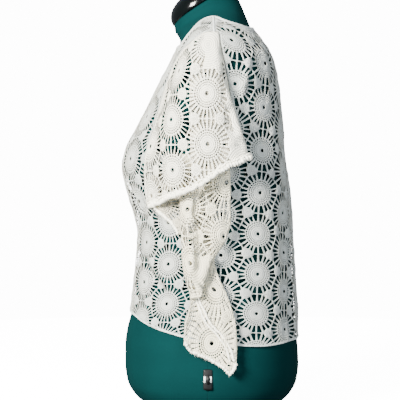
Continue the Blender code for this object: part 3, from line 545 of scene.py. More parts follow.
# round motif in millimetres at its own even size; each column of motifs is half a motif up from the next
motif = {
    "size": 66.0,  # from one motif's middle to the next
    "middleHole": 2.9,
    "discRings": ((5.6, 9), (8.8, 14)),
    "dotRings": (  # reach, half width and length, shift, corners
        (12.0, 0.75, 0.75, 0.0, 4),
        (14.9, 1.15, 1.05, 0.5, 4),
        (18.3, 1.40, 1.30, 0.0, 6),
    ),
    "dotShapes": {  # corners as shares of the half width and length
        4: ((-0.8, -0.9), (-0.8, 0.9), (0.8, 0.9), (0.8, -0.9)),
        6: ((-0.5, -1), (-1, 0), (-0.5, 1), (0.5, 1), (1, 0), (0.5, -1)),
    },
    "dotsPerSide": 5,
    "gapFrom": 20.9,
    "evenCuts": (0.0, 0.2, 0.4, 0.6, 0.8, 1.0),
    "upCuts": (0.0, 0.30, 0.54, 0.77, 1.0),  # wide gaps beside the upright join
    "sideCuts": (0.0, 0.27, 0.50, 0.73, 1.0),
    "joinHalf": 0.7,
    "clusterReach": 7.4,
    "clusterEdge": 0.5,
    "clusterPuff": 0.0009,  # metres that a cluster stands out
    "uneven": 0.7,
    "unevenTurn": 0.012,
    "shortest": 1.4,  # gaps shorter than this are left out
    "leastLow": 0.020,
    "leastHigh": 0.024,
}


class Lattice:
    spacing = 0.062  # of the columns past the given ones
    leanFull = 0.100  # across from the middle where columns have their whole lean
    leanFrom = 0.150
    around = ((0, 1), (1, 0.5), (1, -0.5), (0, -1), (-1, -0.5), (-1, 0.5))

    def __init__(self, columns, rows, mirror):
        if mirror:
            last = 0 if columns[0] == 0 else -1
            columns = {**{last - n: -across for n, across in columns.items()}, **columns}
        self.columns = columns
        self.rows = rows

    def hemAcross(self, number):
        low, high = min(self.columns), max(self.columns)
        if number < low:
            return self.columns[low] - self.spacing * (low - number)
        if number > high:
            return self.columns[high] + self.spacing * (number - high)
        return self.columns[number]

    def centre(self, number, row):
        rows = self.rows
        up = rows["first"] + rows["pitch"] * row + rows["growth"] * row * row
        hemAcross = self.hemAcross(number)
        lean = math.copysign(rows["lean"] * min(abs(hemAcross) / self.leanFull, 1.0), hemAcross)
        return np.array([hemAcross - lean * (up - self.leanFrom), up])

    def motifs(self):
        for number in range(min(self.columns) - 1, max(self.columns) + 2):
            shift = 0.5 * ((number + self.rows["whole"]) % 2)
            for k in range(-3, 11):
                row = k + shift
                centre = self.centre(number, row)
                near = [self.centre(number + n, row + r) for n, r in self.around]
                high = (near[0][1] - near[3][1]) / 2
                wide = (near[1][0] + near[2][0] - near[4][0] - near[5][0]) / 4
                scale = np.array([wide / (math.sqrt(3) / 2), high]) / motif["size"]
                yield centre, scale, [(n - centre) / scale for n in near]


def clusterPlace(a, b):
    # middle between a motif and two neighbours
    d = 2 * (a[0] * b[1] - a[1] * b[0])
    return np.array([b[1] * (a @ a) - a[1] * (b @ b), a[0] * (b @ b) - b[0] * (a @ a)]) / d


def motifGaps(near, bar, dice, evenly):
    # the gaps of one motif and its clusters' middles, in its own millimetres
    gaps = []
    clusters = [clusterPlace(near[i], near[(i + 1) % 6]) for i in range(6)]

    def edgeReach(angle):
        way = np.array([math.cos(angle), math.sin(angle)])
        reach = min((n @ n) / 2 / (n @ way) for n in near if n @ way > 1e-6) - motif["joinHalf"]
        for spot in clusters:
            off = spot[0] * way[1] - spot[1] * way[0]
            room = motif["clusterReach"] + motif["clusterEdge"]
            if spot @ way > 0 and abs(off) < room:
                reach = min(reach, spot @ way - math.sqrt(room**2 - off**2))
        return reach

    def polar(angle, reach):
        return (reach * math.cos(angle), reach * math.sin(angle))

    upCuts = motif["upCuts"]
    downCuts = tuple(1 - cut for cut in reversed(upCuts))
    cuts = (upCuts, motif["sideCuts"], downCuts) * 2
    if evenly:
        cuts = (motif["evenCuts"],) * 6
    for i in range(6):
        start = math.atan2(near[i][1], near[i][0])
        turn = math.atan2(near[(i + 1) % 6][1], near[(i + 1) % 6][0]) - start
        turn = (turn + math.pi) % (2 * math.pi) - math.pi
        for first, last in zip(cuts[i], cuts[i][1:]):
            angle = start + turn * (first + last) / 2 + dice.uniform(-1, 1) * motif["unevenTurn"]
            low = motif["gapFrom"] + dice.uniform(-1, 1) * motif["uneven"]
            half = abs(turn) * (last - first) / 2 - dice.uniform(0, motif["unevenTurn"])
            lowHalf = max(half - bar / 2 / low, motif["leastLow"])
            reach = edgeReach(angle)
            highHalf = max(half - bar / 2 / reach, motif["leastHigh"])
            if reach - low < motif["shortest"]:
                continue
            left = min(edgeReach(angle + highHalf), reach + 2) - 0.3
            right = min(edgeReach(angle - highHalf), reach + 2) - 0.3
            left = max(left, low + 1.0)
            right = max(right, low + 1.0)
            gaps.append([
                polar(angle - lowHalf * 0.8, low),
                polar(angle - highHalf, right),
                polar(angle, reach),
                polar(angle + highHalf, left),
                polar(angle + lowHalf * 0.8, low),
            ])
        for reach, wide, long, shift, corners in motif["dotRings"]:
            for k in range(motif["dotsPerSide"]):
                angle = start + turn * (k + 0.5 + shift) / motif["dotsPerSide"]
                side = wide * dice.uniform(0.8, 1.1) / reach
                shape = motif["dotShapes"][corners]
                gaps.append([polar(angle + side * a, reach + long * b) for a, b in shape])
    gaps.append([polar(2 * math.pi * k / 8, motif["middleHole"]) for k in range(8)])
    return gaps, clusters


trimRoom = 0.001
leastArea = 1.6e-6  # square metres of the smallest trimmed gap
edgeClear = 0.0022  # shaping points nearer the edge than this are left out
sliver = 1e-12  # so are triangles with less area than half of this


def trimGap(gap, outline, margin):
    # pulls a gap's corners in until they clear the outline's solid edge
    depth = depthIn(gap, outline)
    if depth.min() > margin:
        return gap
    deepest = gap[depth.argmax()]
    if depth.max() < margin + trimRoom:
        return None
    trimmed = gap.copy()
    for i in np.nonzero(depth <= margin)[0]:
        low, high = 0.0, 1.0
        for _ in range(6):
            t = (low + high) / 2
            if depthIn([gap[i] + (deepest - gap[i]) * t], outline)[0] > margin:
                high = t
            else:
                low = t
        trimmed[i] = gap[i] + (deepest - gap[i]) * high
    return trimmed if flatArea(trimmed) > leastArea else None


def isPlain(place, look):
    # places worked without gaps, each as flat limits: left, right, bottom, top
    for left, right, bottom, top in look.get("plain", ()):
        if left < place[0] < right and bottom < place[1] < top:
            return True
    return False


def barAt(place, look):
    # width of the bars between gaps, wider where the lace is tight
    bar = look["bar"]
    for left, right, bottom, top, tightBar in look.get("tight", ()):
        if left < place[0] < right and bottom < place[1] < top:
            bar = tightBar
    return bar


def onCircle(k, count):
    angle = 2 * math.pi * k / count
    return np.array([math.cos(angle), math.sin(angle)])


motifReach = 0.045  # how far past an outline a motif's middle may lie
wellInside = 0.050  # middles deeper than this have all their gaps inside
clusterRing = 5.2  # points round a cluster's middle, in the motif's millimetres


def motifsWithin(outline, lattice, look):
    # motifs in reach of an outline: gaps well inside it, gaps near its edge, points that shape the cloth
    dice = random.Random(look["seed"])
    low = outline.min(axis=0) - motifReach
    high = outline.max(axis=0) + motifReach
    found = {"deep": [], "near": [], "points": [], "centres": [], "scales": [], "clusters": []}
    for centre, scale, near in lattice.motifs():
        if (centre < low).any() or (centre > high).any():
            continue
        depth = depthIn([centre], outline)[0]
        if depth < -motifReach:
            continue
        found["centres"].append(centre)
        found["scales"].append(scale)
        evenly = look["evenRings"][0] < centre[0] < look["evenRings"][1]
        gaps, clusters = motifGaps(near, barAt(centre, look), dice, evenly)
        where = "deep" if depth > wellInside else "near"
        found[where].extend(centre + np.array(gap) * scale for gap in gaps)
        for reach, count in motif["discRings"]:
            found["points"].extend(centre + scale * onCircle(k + 0.5, count) * reach for k in range(count))
        for spot in clusters[:2]:  # each cluster is shared by three motifs
            found["clusters"].append(centre + scale * spot)
            found["points"].append(centre + scale * spot)
            found["points"].extend(centre + scale * (spot + onCircle(k, 7) * clusterRing) for k in range(7))
    return found


def chooseGaps(found, outline, look):
    # the gaps that are cut; where the lace is plain, a gap only leaves points that shape the cloth
    kept = [gap for gap in found["deep"] if not isPlain(gap[0], look)]
    points = found["points"]
    points.extend(gap[k] for gap in found["deep"] if isPlain(gap[0], look) for k in (0, 2))
    sizes = [len(gap) for gap in found["near"]]
    depths = np.split(depthIn(np.vstack(found["near"]), outline), np.cumsum(sizes)[:-1])
    for gap, depth in zip(found["near"], depths):
        if isPlain(gap[0], look):
            points.extend(gap[k] for k in (0, 2))
        elif depth.min() > look["margin"]:
            kept.append(gap)
        elif depth.max() > look["margin"]:
            trimmed = trimGap(gap, outline, look["margin"])
            if trimmed is not None:
                kept.append(trimmed)
    points = np.array(points)
    return kept, points[depthIn(points, outline) > edgeClear]


def flatLace(outline, gaps, points):
    # fills an outline with triangles round its gaps
    corners = [tuple(p) for p in outline * 1000] + [tuple(p) for p in points * 1000]
    rings = [list(range(len(outline)))]
    for gap in gaps:
        rings.append(list(range(len(corners), len(corners) + len(gap))))
        corners.extend(tuple(p) for p in gap * 1000)
    found = delaunay_2d_cdt([Vector(c) for c in corners], [], rings, 0, 1e-4)
    flat = np.array([(v[0], v[1]) for v in found[0]]) / 1000
    faces = np.array([tuple(f) for f, where in zip(found[2], found[5]) if list(where) == [0]])
    a, b, c = (flat[faces[:, i]] for i in range(3))
    turn = (b[:, 0] - a[:, 0]) * (c[:, 1] - a[:, 1]) - (b[:, 1] - a[:, 1]) * (c[:, 0] - a[:, 0])
    faces = faces[np.abs(turn) > sliver]
    turn = turn[np.abs(turn) > sliver]
    faces[turn < 0] = faces[turn < 0][:, ::-1]
    used, faces = np.unique(faces, return_inverse=True)
    return flat[used], faces.reshape(-1, 3)


def stitchPlaces(flat, faces, found):
    # place of each corner within the nearest motif or cluster, and how far each point is from a cluster
    centres, scales, clusters = (np.array(found[name]) for name in ("centres", "scales", "clusters"))
    middles = flat[faces].mean(axis=1)
    home = np.array([np.argmin(((m - centres) ** 2).sum(axis=1)) for m in middles])
    stitch = (flat[faces] - centres[home][:, None, :]) / scales[home][:, None, :]
    clusterGap = np.array([np.sqrt(((p - clusters) ** 2).sum(axis=1)).min() for p in flat]) * 1000
    nearCluster = np.array([np.argmin(((m - clusters) ** 2).sum(axis=1)) for m in middles])
    clusterStitch = (flat[faces] - clusters[nearCluster][:, None, :]) * 1000
    clusterHalf = motif["clusterReach"] - motif["clusterEdge"]
    inCluster = np.linalg.norm(clusterStitch.mean(axis=1), axis=1) < clusterHalf
    stitch[inCluster] = clusterStitch[inCluster]
    return stitch, clusterGap


def laceWall(name, outline, lattice, look, mapPlace, material):
    look["edge"] = outline
    outline = np.asarray(outline, float)
    x, y = outline.T
    if np.dot(x, np.roll(y, -1)) < np.dot(y, np.roll(x, -1)):
        outline = outline[::-1]
    found = motifsWithin(outline, lattice, look)
    flat, faces = flatLace(outline, *chooseGaps(found, outline, look))
    stitch, clusterGap = stitchPlaces(flat, faces, found)
    middle, normal = mapPlace(flat[:, 0], flat[:, 1])
    middle = middle + normal * foldRise(look["folds"], flat[:, 0], flat[:, 1])[:, None]
    half = look["thick"] / 2
    if look["clear"]:
        middle = pushOffForm(middle, half + look["clear"])
    a, b, c = (middle[faces[:, i]] for i in range(3))
    if (np.cross(b - a, c - a) * normal[faces[:, 0]]).sum() < 0:
        faces = faces[:, ::-1]
        stitch = stitch[:, ::-1]
    puff = motif["clusterPuff"] * np.clip(1 - (clusterGap / motif["clusterReach"]) ** 2, 0, 1)
    outer = middle + normal * (half + puff)[:, None]
    piece = shellObject(name, outer, middle - normal * half, faces, stitch, material)
    print(name, len(piece.data.polygons), "faces")
    return piece


# painted shade: the walls round every gap take the darkest valley colour of the stitch pattern
shadedGapWallStitch = (27.108, 0.9468)  # a low place between two stitches, so gaps have dark walls


def shellObject(name, outer, inner, faces, stitch, material):
    count = len(outer)
    pairs = np.concatenate([faces[:, [0, 1]], faces[:, [1, 2]], faces[:, [2, 0]]])
    known = {(int(a), int(b)) for a, b in pairs}
    rims = [(a, b) for a, b in known if (b, a) not in known]
    rims.sort()
    back = faces[:, ::-1] + count
    polygons = [tuple(int(i) for i in f) for f in faces] + [tuple(int(i) for i in f) for f in back]
    polygons += [(b, a, a + count, b + count) for a, b in rims]
    mesh = bpy.data.meshes.new(name)
    mesh.from_pydata(np.vstack([outer, inner]).tolist(), [], polygons)
    mesh.update()
    layer = mesh.uv_layers.new(name="stitchPlace")
    shadedRimStitch = np.tile(shadedGapWallStitch, (len(rims) * 4, 1))
    uv = np.concatenate([stitch.reshape(-1, 2), stitch[:, ::-1].reshape(-1, 2), shadedRimStitch])
    layer.data.foreach_set("uv", uv.ravel().astype(np.float32))
    mesh.materials.append(material)
    mesh.polygons.foreach_set("use_smooth", [True] * len(mesh.polygons))
    return link(bpy.data.objects.new(name, mesh))


print("lace maker ready")


# small node helpers
def newMaterial(name):
    material = bpy.data.materials.new(name)
    material.use_nodes = True
    tree = material.node_tree
    return material, tree, tree.nodes["Principled BSDF"]


def mathNode(tree, kind, a, b=None, clamp=False):
    node = tree.nodes.new("ShaderNodeMath")
    node.operation = kind
    node.use_clamp = clamp
    for k, value in enumerate((a, b)):
        if value is None:
            continue
        if isinstance(value, (int, float)):
            node.inputs[k].default_value = value
        else:
            tree.links.new(value, node.inputs[k])
    return node.outputs[0]


def mixColour(tree, share, first, second):
    node = tree.nodes.new("ShaderNodeMix")
    node.data_type = "RGBA"
    if isinstance(share, (int, float)):
        node.inputs[0].default_value = share
    else:
        tree.links.new(share, node.inputs[0])
    for socket, value in ((node.inputs[6], first), (node.inputs[7], second)):
        if isinstance(value, tuple):
            socket.default_value = (*value, 1)
        else:
            tree.links.new(value, socket)
    return node.outputs[2]


def noiseNode(tree, coords, scale, detail=2.0):
    node = tree.nodes.new("ShaderNodeTexNoise")
    node.inputs["Scale"].default_value = scale
    node.inputs["Detail"].default_value = detail
    tree.links.new(coords, node.inputs["Vector"])
    return node.outputs[0]


def bumpNode(tree, height, strength, depth):
    node = tree.nodes.new("ShaderNodeBump")
    node.inputs["Strength"].default_value = strength
    node.inputs["Distance"].default_value = depth
    tree.links.new(height, node.inputs["Height"])
    return node.outputs[0]


# cotton yarn, worked in rounds: ridges round each motif, split into stitches, with painted shade in the low
# places between them
cotton = {
    # partly painted shade: the body cotton is a cooler white than the sleeve cotton, and darker than it for
    # the weaker light on the body panels
    "shadedBodyTone": (0.545, 0.572, 0.540),
    "sleeveTone": (0.92, 0.885, 0.745),
    # painted shade: a darker copy of the sleeve cotton for cloth lying under the outer sleeve
    "shadedInnerTone": (0.66, 0.60, 0.46),
    "fallTone": (0.83, 0.765, 0.560),
    # painted shade for the low places between stitches and between a cord's lumps
    "valleyShadeTone": (0.30, 0.285, 0.24),
    "warmShare": (0.97, 0.94, 0.87),  # mottled places are a little warmer
    "roundStep": 3.1,  # mm from one round to the next
    "ridge": 0.36,
    "fuzz": 0.5,
    "bump": 0.75,
    "bumpDepth": 0.0013,
    "roughness": 0.88,
}


def cottonLace(name, tone):
    material, tree, shader = newMaterial(name)
    uv = tree.nodes.new("ShaderNodeUVMap")
    uv.uv_map = "stitchPlace"
    split = tree.nodes.new("ShaderNodeSeparateXYZ")
    tree.links.new(uv.outputs[0], split.inputs[0])
    x, y = split.outputs[0], split.outputs[1]
    squares = mathNode(tree, "ADD", mathNode(tree, "MULTIPLY", x, x), mathNode(tree, "MULTIPLY", y, y))
    reach = mathNode(tree, "SQRT", squares)
    angle = mathNode(tree, "ARCTAN2", y, x)
    rounds = mathNode(tree, "DIVIDE", reach, cotton["roundStep"])
    roundWave = mathNode(tree, "SINE", mathNode(tree, "MULTIPLY", rounds, 2 * math.pi))
    number = mathNode(tree, "FLOOR", mathNode(tree, "ADD", rounds, 0.25))
    stitches = mathNode(tree, "ADD", mathNode(tree, "MULTIPLY", number, 9), 9)
    stitchWave = mathNode(tree, "COSINE", mathNode(tree, "MULTIPLY", angle, stitches))
    coords = tree.nodes.new("ShaderNodeTexCoord").outputs["Object"]
    fuzz = noiseNode(tree, coords, 1100, 3)
    mottle = noiseNode(tree, coords, 38, 3)
    roundRidge = mathNode(tree, "MULTIPLY", roundWave, cotton["ridge"])
    ridge = mathNode(tree, "ADD", roundRidge, mathNode(tree, "MULTIPLY", stitchWave, cotton["ridge"]))
    height = mathNode(tree, "ADD", ridge, mathNode(tree, "MULTIPLY", fuzz, cotton["fuzz"]))
    # painted shade: the low places of the stitch ridges are mixed toward the dark valley shade tone
    valley = mathNode(tree, "MULTIPLY", mathNode(tree, "SUBTRACT", -0.02, ridge), 1.6, True)
    tinted = mixColour(tree, valley, tone, cotton["valleyShadeTone"])
    warm = tuple(c * f for c, f in zip(tone, cotton["warmShare"]))
    shade = mathNode(tree, "MULTIPLY", mathNode(tree, "SUBTRACT", mottle, 0.42), 1.2, True)
    tree.links.new(mixColour(tree, shade, tinted, warm), shader.inputs["Base Color"])
    bump = bumpNode(tree, height, cotton["bump"], cotton["bumpDepth"])
    tree.links.new(bump, shader.inputs["Normal"])
    shader.inputs["Roughness"].default_value = cotton["roughness"]
    shader.inputs["Sheen Weight"].default_value = 0.05
    shader.inputs["Sheen Roughness"].default_value = 0.5
    shader.inputs["Specular IOR Level"].default_value = 0.25
    return material


def cottonCord(name, tone):
    material, tree, shader = newMaterial(name)
    coords = tree.nodes.new("ShaderNodeTexCoord").outputs["Object"]
    fuzz = noiseNode(tree, coords, 700, 3)
    lumps = noiseNode(tree, coords, 260, 2)
    ridge = mathNode(tree, "MULTIPLY", lumps, 0.8)
    height = mathNode(tree, "ADD", ridge, mathNode(tree, "MULTIPLY", fuzz, cotton["fuzz"]))
    # painted shade: the hollows between a cord's lumps are darkened
    shade = mathNode(tree, "MULTIPLY", mathNode(tree, "SUBTRACT", 0.52, lumps), 2.2, True)
    tree.links.new(mixColour(tree, shade, tone, cotton["valleyShadeTone"]), shader.inputs["Base Color"])
    tree.links.new(bumpNode(tree, height, 0.6, 0.0014), shader.inputs["Normal"])
    shader.inputs["Roughness"].default_value = cotton["roughness"]
    shader.inputs["Sheen Weight"].default_value = 0.12
    return material


# the body lace and its worked edges carry the body cotton's painted shade
bodyCotton = cottonLace("bodyCotton", cotton["shadedBodyTone"])
# the sleeve's inner layer and turned edge are coloured with painted shade
shadedInnerCotton = cottonLace("shadedInnerCotton", cotton["shadedInnerTone"])
fallCotton = cottonLace("fallCotton", cotton["fallTone"])
sleeveCotton = cottonLace("sleeveCotton", cotton["sleeveTone"])
cordCotton = cottonCord("cordCotton", cotton["sleeveTone"])
edgeCotton = cottonCord("edgeCotton", cotton["shadedBodyTone"])
print("cotton ready")

# body panels, with the gaps at the seams and the heights of the armhole
seamGap = 0.0003
armholeGap = 0.0012
shoulderTip = 0.6365
underarm = 0.4300
armholeLow = 0.4520
armholeHigh = 0.6340
armholeBottom = ((78, 0.4312), (66, 0.4345), (58, 0.4400))

# level sections of the outer sleeve from the front armhole round the crown and the fold to the back one
upperNames = (
    "height",
    "frontAngle",
    "swellY",
    "swellX",
    "crownY",
    "crownX",
    "foldY",
    "foldX",
    "backAngle",
)
upperRows = (
    (0.6340, 84.0, -0.0040, 0.1665, 0.0030, 0.1675, 0.0062, 0.1672, 92.5),
    (0.6100, 70.0, -0.0190, 0.1760, 0.0035, 0.1830, 0.0100, 0.1795, 94.0),
    (0.5860, 62.0, -0.0330, 0.1790, 0.0032, 0.1905, 0.0150, 0.1835, 96.0),
    (0.5380, 57.0, -0.0520, 0.1840, 0.0015, 0.2005, 0.0250, 0.1900, 99.5),
    (0.4930, 54.5, -0.0620, 0.1885, 0.0015, 0.2075, 0.0375, 0.1930, 103.5),
    (0.4500, 52.5, -0.0640, 0.1910, 0.0028, 0.2120, 0.0520, 0.1945, 107.0),
    (0.4000, 51.0, -0.0610, 0.1925, 0.0045, 0.2135, 0.0680, 0.1940, 110.0),
    (0.3500, 50.0, -0.0570, 0.1905, 0.0050, 0.2130, 0.0820, 0.1920, 113.0),
)
readUpper = tableReader(upperNames, upperRows)

frontPanel = {
    "columns": {0: 0.035, 1: 0.116, 2: 0.1765, 3: 0.240},
    "rows": {"first": 0.1980, "pitch": 0.0622, "growth": 0.0018, "lean": 0.06, "whole": 0},
    "bar": 0.75,
    "evenRings": (-9, 9),
    "thick": 0.0010,
    "margin": 0.0028,
    "clear": 0.0005,
    "seed": 4,
    "folds": (
        (0.068, 0.395, 0.092, 0.353, -0.0034, 0.005),
        (0.082, 0.400, 0.104, 0.358, 0.0026, 0.005),
        (0.120, 0.358, 0.147, 0.332, -0.0030, 0.004),
        (0.128, 0.366, 0.156, 0.338, 0.0024, 0.005),
        (0.108, 0.262, 0.161, 0.220, -0.0036, 0.005),
        (0.112, 0.276, 0.166, 0.232, 0.0026, 0.006),
        (0.126, 0.208, 0.139, 0.188, -0.0028, 0.004),
        (0.141, 0.176, 0.168, 0.138, 0.0024, 0.007),
        (0.060, 0.260, 0.078, 0.190, 0.0020, 0.009),
        (0.030, 0.360, 0.048, 0.300, -0.0020, 0.009),
        (-0.085, 0.420, -0.130, 0.388, -0.0022, 0.007),
        (-0.110, 0.300, -0.158, 0.255, -0.0025, 0.008),
        (-0.060, 0.250, -0.080, 0.185, 0.0020, 0.009),
        (-0.020, 0.340, -0.034, 0.270, 0.0018, 0.010),
        (-0.140, 0.350, -0.180, 0.320, 0.0018, 0.008),
    ),
}
backPanel = {
    "columns": {0: 0.0, 1: 0.0595, 2: 0.121, 3: 0.191, 4: 0.2547},
    "rows": {"first": 0.1818, "pitch": 0.0622, "growth": 0.00095, "lean": 0.14, "whole": 1},
    "bar": 1.5,
    "evenRings": (-0.03, 0.03),
    "thick": 0.0010,
    "margin": 0.0028,
    "clear": 0.0005,
    "seed": 9,
    "folds": (
        (0.114, 0.468, 0.1225, 0.400, -0.0040, 0.005),
        (0.124, 0.470, 0.133, 0.405, 0.0026, 0.006),
        (0.086, 0.275, 0.102, 0.135, -0.0040, 0.006),
        (0.098, 0.270, 0.114, 0.140, 0.0026, 0.007),
        (0.126, 0.610, 0.127, 0.530, 0.0026, 0.007),
        (0.1745, 0.588, 0.182, 0.558, 0.0042, 0.005),
        (0.182, 0.558, 0.195, 0.498, 0.0042, 0.005),
        (0.166, 0.588, 0.173, 0.556, -0.0028, 0.004),
        (0.173, 0.556, 0.186, 0.500, -0.0028, 0.004),
        (0.149, 0.622, 0.151, 0.588, -0.0024, 0.005),
        (0.060, 0.560, 0.085, 0.500, 0.0014, 0.008),
        (0.020, 0.300, 0.024, 0.190, -0.0020, 0.011),
        (0.205, 0.330, 0.200, 0.230, 0.0016, 0.008),
        (-0.100, 0.450, -0.092, 0.370, -0.0020, 0.008),
        (-0.075, 0.300, -0.070, 0.190, 0.0020, 0.009),
        (-0.140, 0.600, -0.160, 0.540, 0.0016, 0.008),
        (-0.200, 0.320, -0.196, 0.215, -0.0018, 0.009),
        (-0.030, 0.520, -0.045, 0.450, 0.0014, 0.010),
    ),
}


def edgeHeight(read, angle):
    # height of the neckline or the hem at an angle from the centre front
    return float(read(math.degrees(abs(angle)))["height"])


def seamAngle(angle, height, towards):
    point = torsoPoint(readTop, angle, height)
    reach = float(np.hypot(point[0], point[1] - readTop(height)["side"]))
    return angle + towards * seamGap / 2 / reach


def movedIn(run, gap):
    run = np.asarray(run, float)
    along = unit(np.gradient(run, axis=0))
    return [np.array([p[0] - gap * d[1], p[1] + gap * d[0]]) for p, d in zip(run, along)]


def panelOutline(flatMap, back):
    towards = 1 if back else -1
    quarter = math.pi / 2
    centre = math.pi if back else 0.0
    hem = [flatMap.flat(a, edgeHeight(readHem, a)) for a in np.linspace(centre, quarter, 70)[:-1]]
    sideHeights = np.linspace(edgeHeight(readHem, quarter), underarm, 46)
    side = [flatMap.flat(seamAngle(quarter, h, towards), h) for h in sideHeights]
    bottom = []
    for degrees, height in armholeBottom:
        swing = 90 + (90 - degrees) * 0.45 if back else degrees
        bottom.append(flatMap.flat(seamAngle(math.radians(swing), height, towards), height))
    name = "backAngle" if back else "frontAngle"
    armhole = []
    for height in np.linspace(armholeLow, armholeHigh, 32):
        armhole.append(flatMap.flat(math.radians(float(readUpper(height)[name])), height))
    armhole = movedIn(armhole, armholeGap)
    armhole[-1][1] += armholeGap
    shoulderHeights = np.linspace(shoulderTip, edgeHeight(readNeckline, quarter), 16)
    shoulder = [flatMap.flat(seamAngle(quarter, h, towards), h) for h in shoulderHeights]
    neck = [flatMap.flat(a, edgeHeight(readNeckline, a)) for a in np.linspace(quarter, centre, 61)[1:]]
    half = [np.asarray(p) for p in hem + side + bottom + armhole + shoulder + neck]
    return half + [np.array([-p[0], p[1]]) for p in reversed(half)][1:-1]


def bodyPanel(name, back, look):
    flatMap = PanelMap(back)
    outline = panelOutline(flatMap, back)
    lattice = Lattice(look["columns"], look["rows"], True)
    return laceWall(name, outline, lattice, look, flatMap.place, bodyCotton)


frontLace = bodyPanel("frontLace", False, frontPanel)
backLace = bodyPanel("backLace", True, backPanel)

# outer layer of a sleeve, from its armhole to the finished hem
upperSleeve = {
    "columns": {-2: -0.130, -1: -0.069, 0: -0.008, 1: 0.053},
    "rows": {"first": 0.4110, "pitch": 0.0805, "growth": 0.0, "lean": 0.0, "whole": 1},
    "hem": (
        (-0.0990, 0.3540),
        (-0.0822, 0.3605),
        (-0.0604, 0.3700),
        (-0.0340, 0.3789),
        (-0.0081, 0.3937),
        (0.0091, 0.4062),
        (0.0248, 0.4170),
        (0.0454, 0.4238),
        (0.0590, 0.4300),
    ),
    "hemBack": 0.4380,
    "lift": 0.0045,  # how far the low front and back edges stand off the panels
    "liftFrom": 0.470,
    "liftOver": 0.030,
    "bar": 0.7,
    "tight": ((-0.030, 0.090, 0.300, 0.700, 1.9),),
    "plain": ((-0.014, 0.090, 0.585, 0.700), (0.034, 0.090, 0.300, 0.700)),
    "evenRings": (-9, 9),
    "thick": 0.0010,
    "margin": 0.0040,
    "clear": 0.0,
    "seed": 21,
    "folds": (
        (0.010, 0.628, 0.006, 0.560, 0.0016, 0.006),
        (-0.012, 0.610, -0.022, 0.540, -0.0016, 0.007),
        (0.026, 0.560, 0.034, 0.480, -0.0018, 0.007),
        (-0.040, 0.560, -0.052, 0.500, 0.0016, 0.009),
        (-0.030, 0.440, -0.045, 0.395, -0.0018, 0.009),
        (0.021, 0.526, 0.045, 0.446, -0.0034, 0.004),
        (0.031, 0.526, 0.055, 0.446, 0.0026, 0.006),
        (-0.075, 0.450, -0.085, 0.390, 0.0018, 0.009),
    ),
}


def upperMap():
    heights = np.linspace(0.350, 0.634, 72)
    row = readUpper(heights)
    share = np.clip((upperSleeve["liftFrom"] - heights) / upperSleeve["liftOver"], 0, 1)
    lift = upperSleeve["lift"] * share
    front, frontNormal = topPoint(np.radians(row["frontAngle"]), heights)
    back, backNormal = topPoint(np.radians(row["backAngle"]), heights)
    front = front + frontNormal * lift[:, None]
    back = back + backNormal * lift[:, None]
    sections = []
    for k in range(len(heights)):
        lines = [(row[name + "X"][k], row[name + "Y"][k]) for name in ("swell", "crown", "fold")]
        sections.append([front[k, :2], *lines, back[k, :2]])
    return SheetMap(heights, sections, 2)


def upperOutline(sheet):
    seam = list(np.linspace(armholeLow, armholeHigh, 40))
    low = list(np.linspace(upperSleeve["hem"][0][1], armholeLow, 24)[:-1])
    front = [(sheet.mark(h, 0), h) for h in low + seam]
    top = [(sheet.mark(sheet.heights[-1], number), sheet.heights[-1]) for number in (1, 2, 3)]
    back = [(sheet.mark(h, 4), h) for h in reversed([upperSleeve["hemBack"]] + seam)]
    hem = [(sheet.findY(h, y, 0, 3), h) for y, h in reversed(upperSleeve["hem"])]
    return joined(front, top, back, even(back[-1:] + hem, 0.004)), np.array(back[-1:] + hem)


def mirrored(source, name):
    mesh = source.data.copy()
    mesh.name = name
    for vertex in mesh.vertices:
        vertex.co.x = -vertex.co.x
    mesh.flip_normals()
    return link(bpy.data.objects.new(name, mesh))


upperSheet = upperMap()
upperEdge, upperHemRun = upperOutline(upperSheet)
upperLattice = Lattice(upperSleeve["columns"], upperSleeve["rows"], False)
upperPlace = upperSheet.place
upperLeft = laceWall("sleeveLaceLeft", upperEdge, upperLattice, upperSleeve, upperPlace, sleeveCotton)
upperRight = mirrored(upperLeft, "sleeveLaceRight")

# inner layer of the sleeve's tube behind the outer one, by the fold
innerLayer = {
    "behind": 0.0034,
    "from": -0.037,  # flat place of its front edge
    "top": 0.600,
    "aside": 0.027,  # its motifs, from those of the outer layer
    "bar": 3.4,
    "evenRings": (-9, 9),
    "thick": 0.0010,
    "margin": 0.0030,
    "clear": 0.0,
    "seed": 51,
    "folds": (
        (-0.010, 0.580, -0.014, 0.480, -0.0010, 0.008),
        (0.012, 0.500, 0.018, 0.440, 0.0010, 0.007),
    ),
}


def makeInnerLayer():
    front = innerLayer["from"]
    top = innerLayer["top"]
    hem = [np.array([p[0] - 0.004, p[1] + 0.005]) for p in upperHemRun if p[0] > front + 0.008]
    low = hem[-1][1] - 0.004
    left = [(front, h) for h in np.linspace(low, top, 30)]
    fold = [(upperSheet.mark(h, 3.3), h) for h in np.linspace(top, hem[0][1] + 0.006, 30)]
    outline = joined(left, fold, even(hem, 0.004))

    def place(across, up):
        middle, normal = upperSheet.place(across, up)
        return middle - normal * innerLayer["behind"], normal

    columns = {n: across + innerLayer["aside"] for n, across in upperSleeve["columns"].items()}
    lattice = Lattice(columns, upperSleeve["rows"], False)
    # painted shade: the inner layer takes the darker shaded inner cotton
    return laceWall("sleeveInnerLeft", outline, lattice, innerLayer, place, shadedInnerCotton)


innerLeft = makeInnerLayer()
innerRight = mirrored(innerLeft, "sleeveInnerRight")

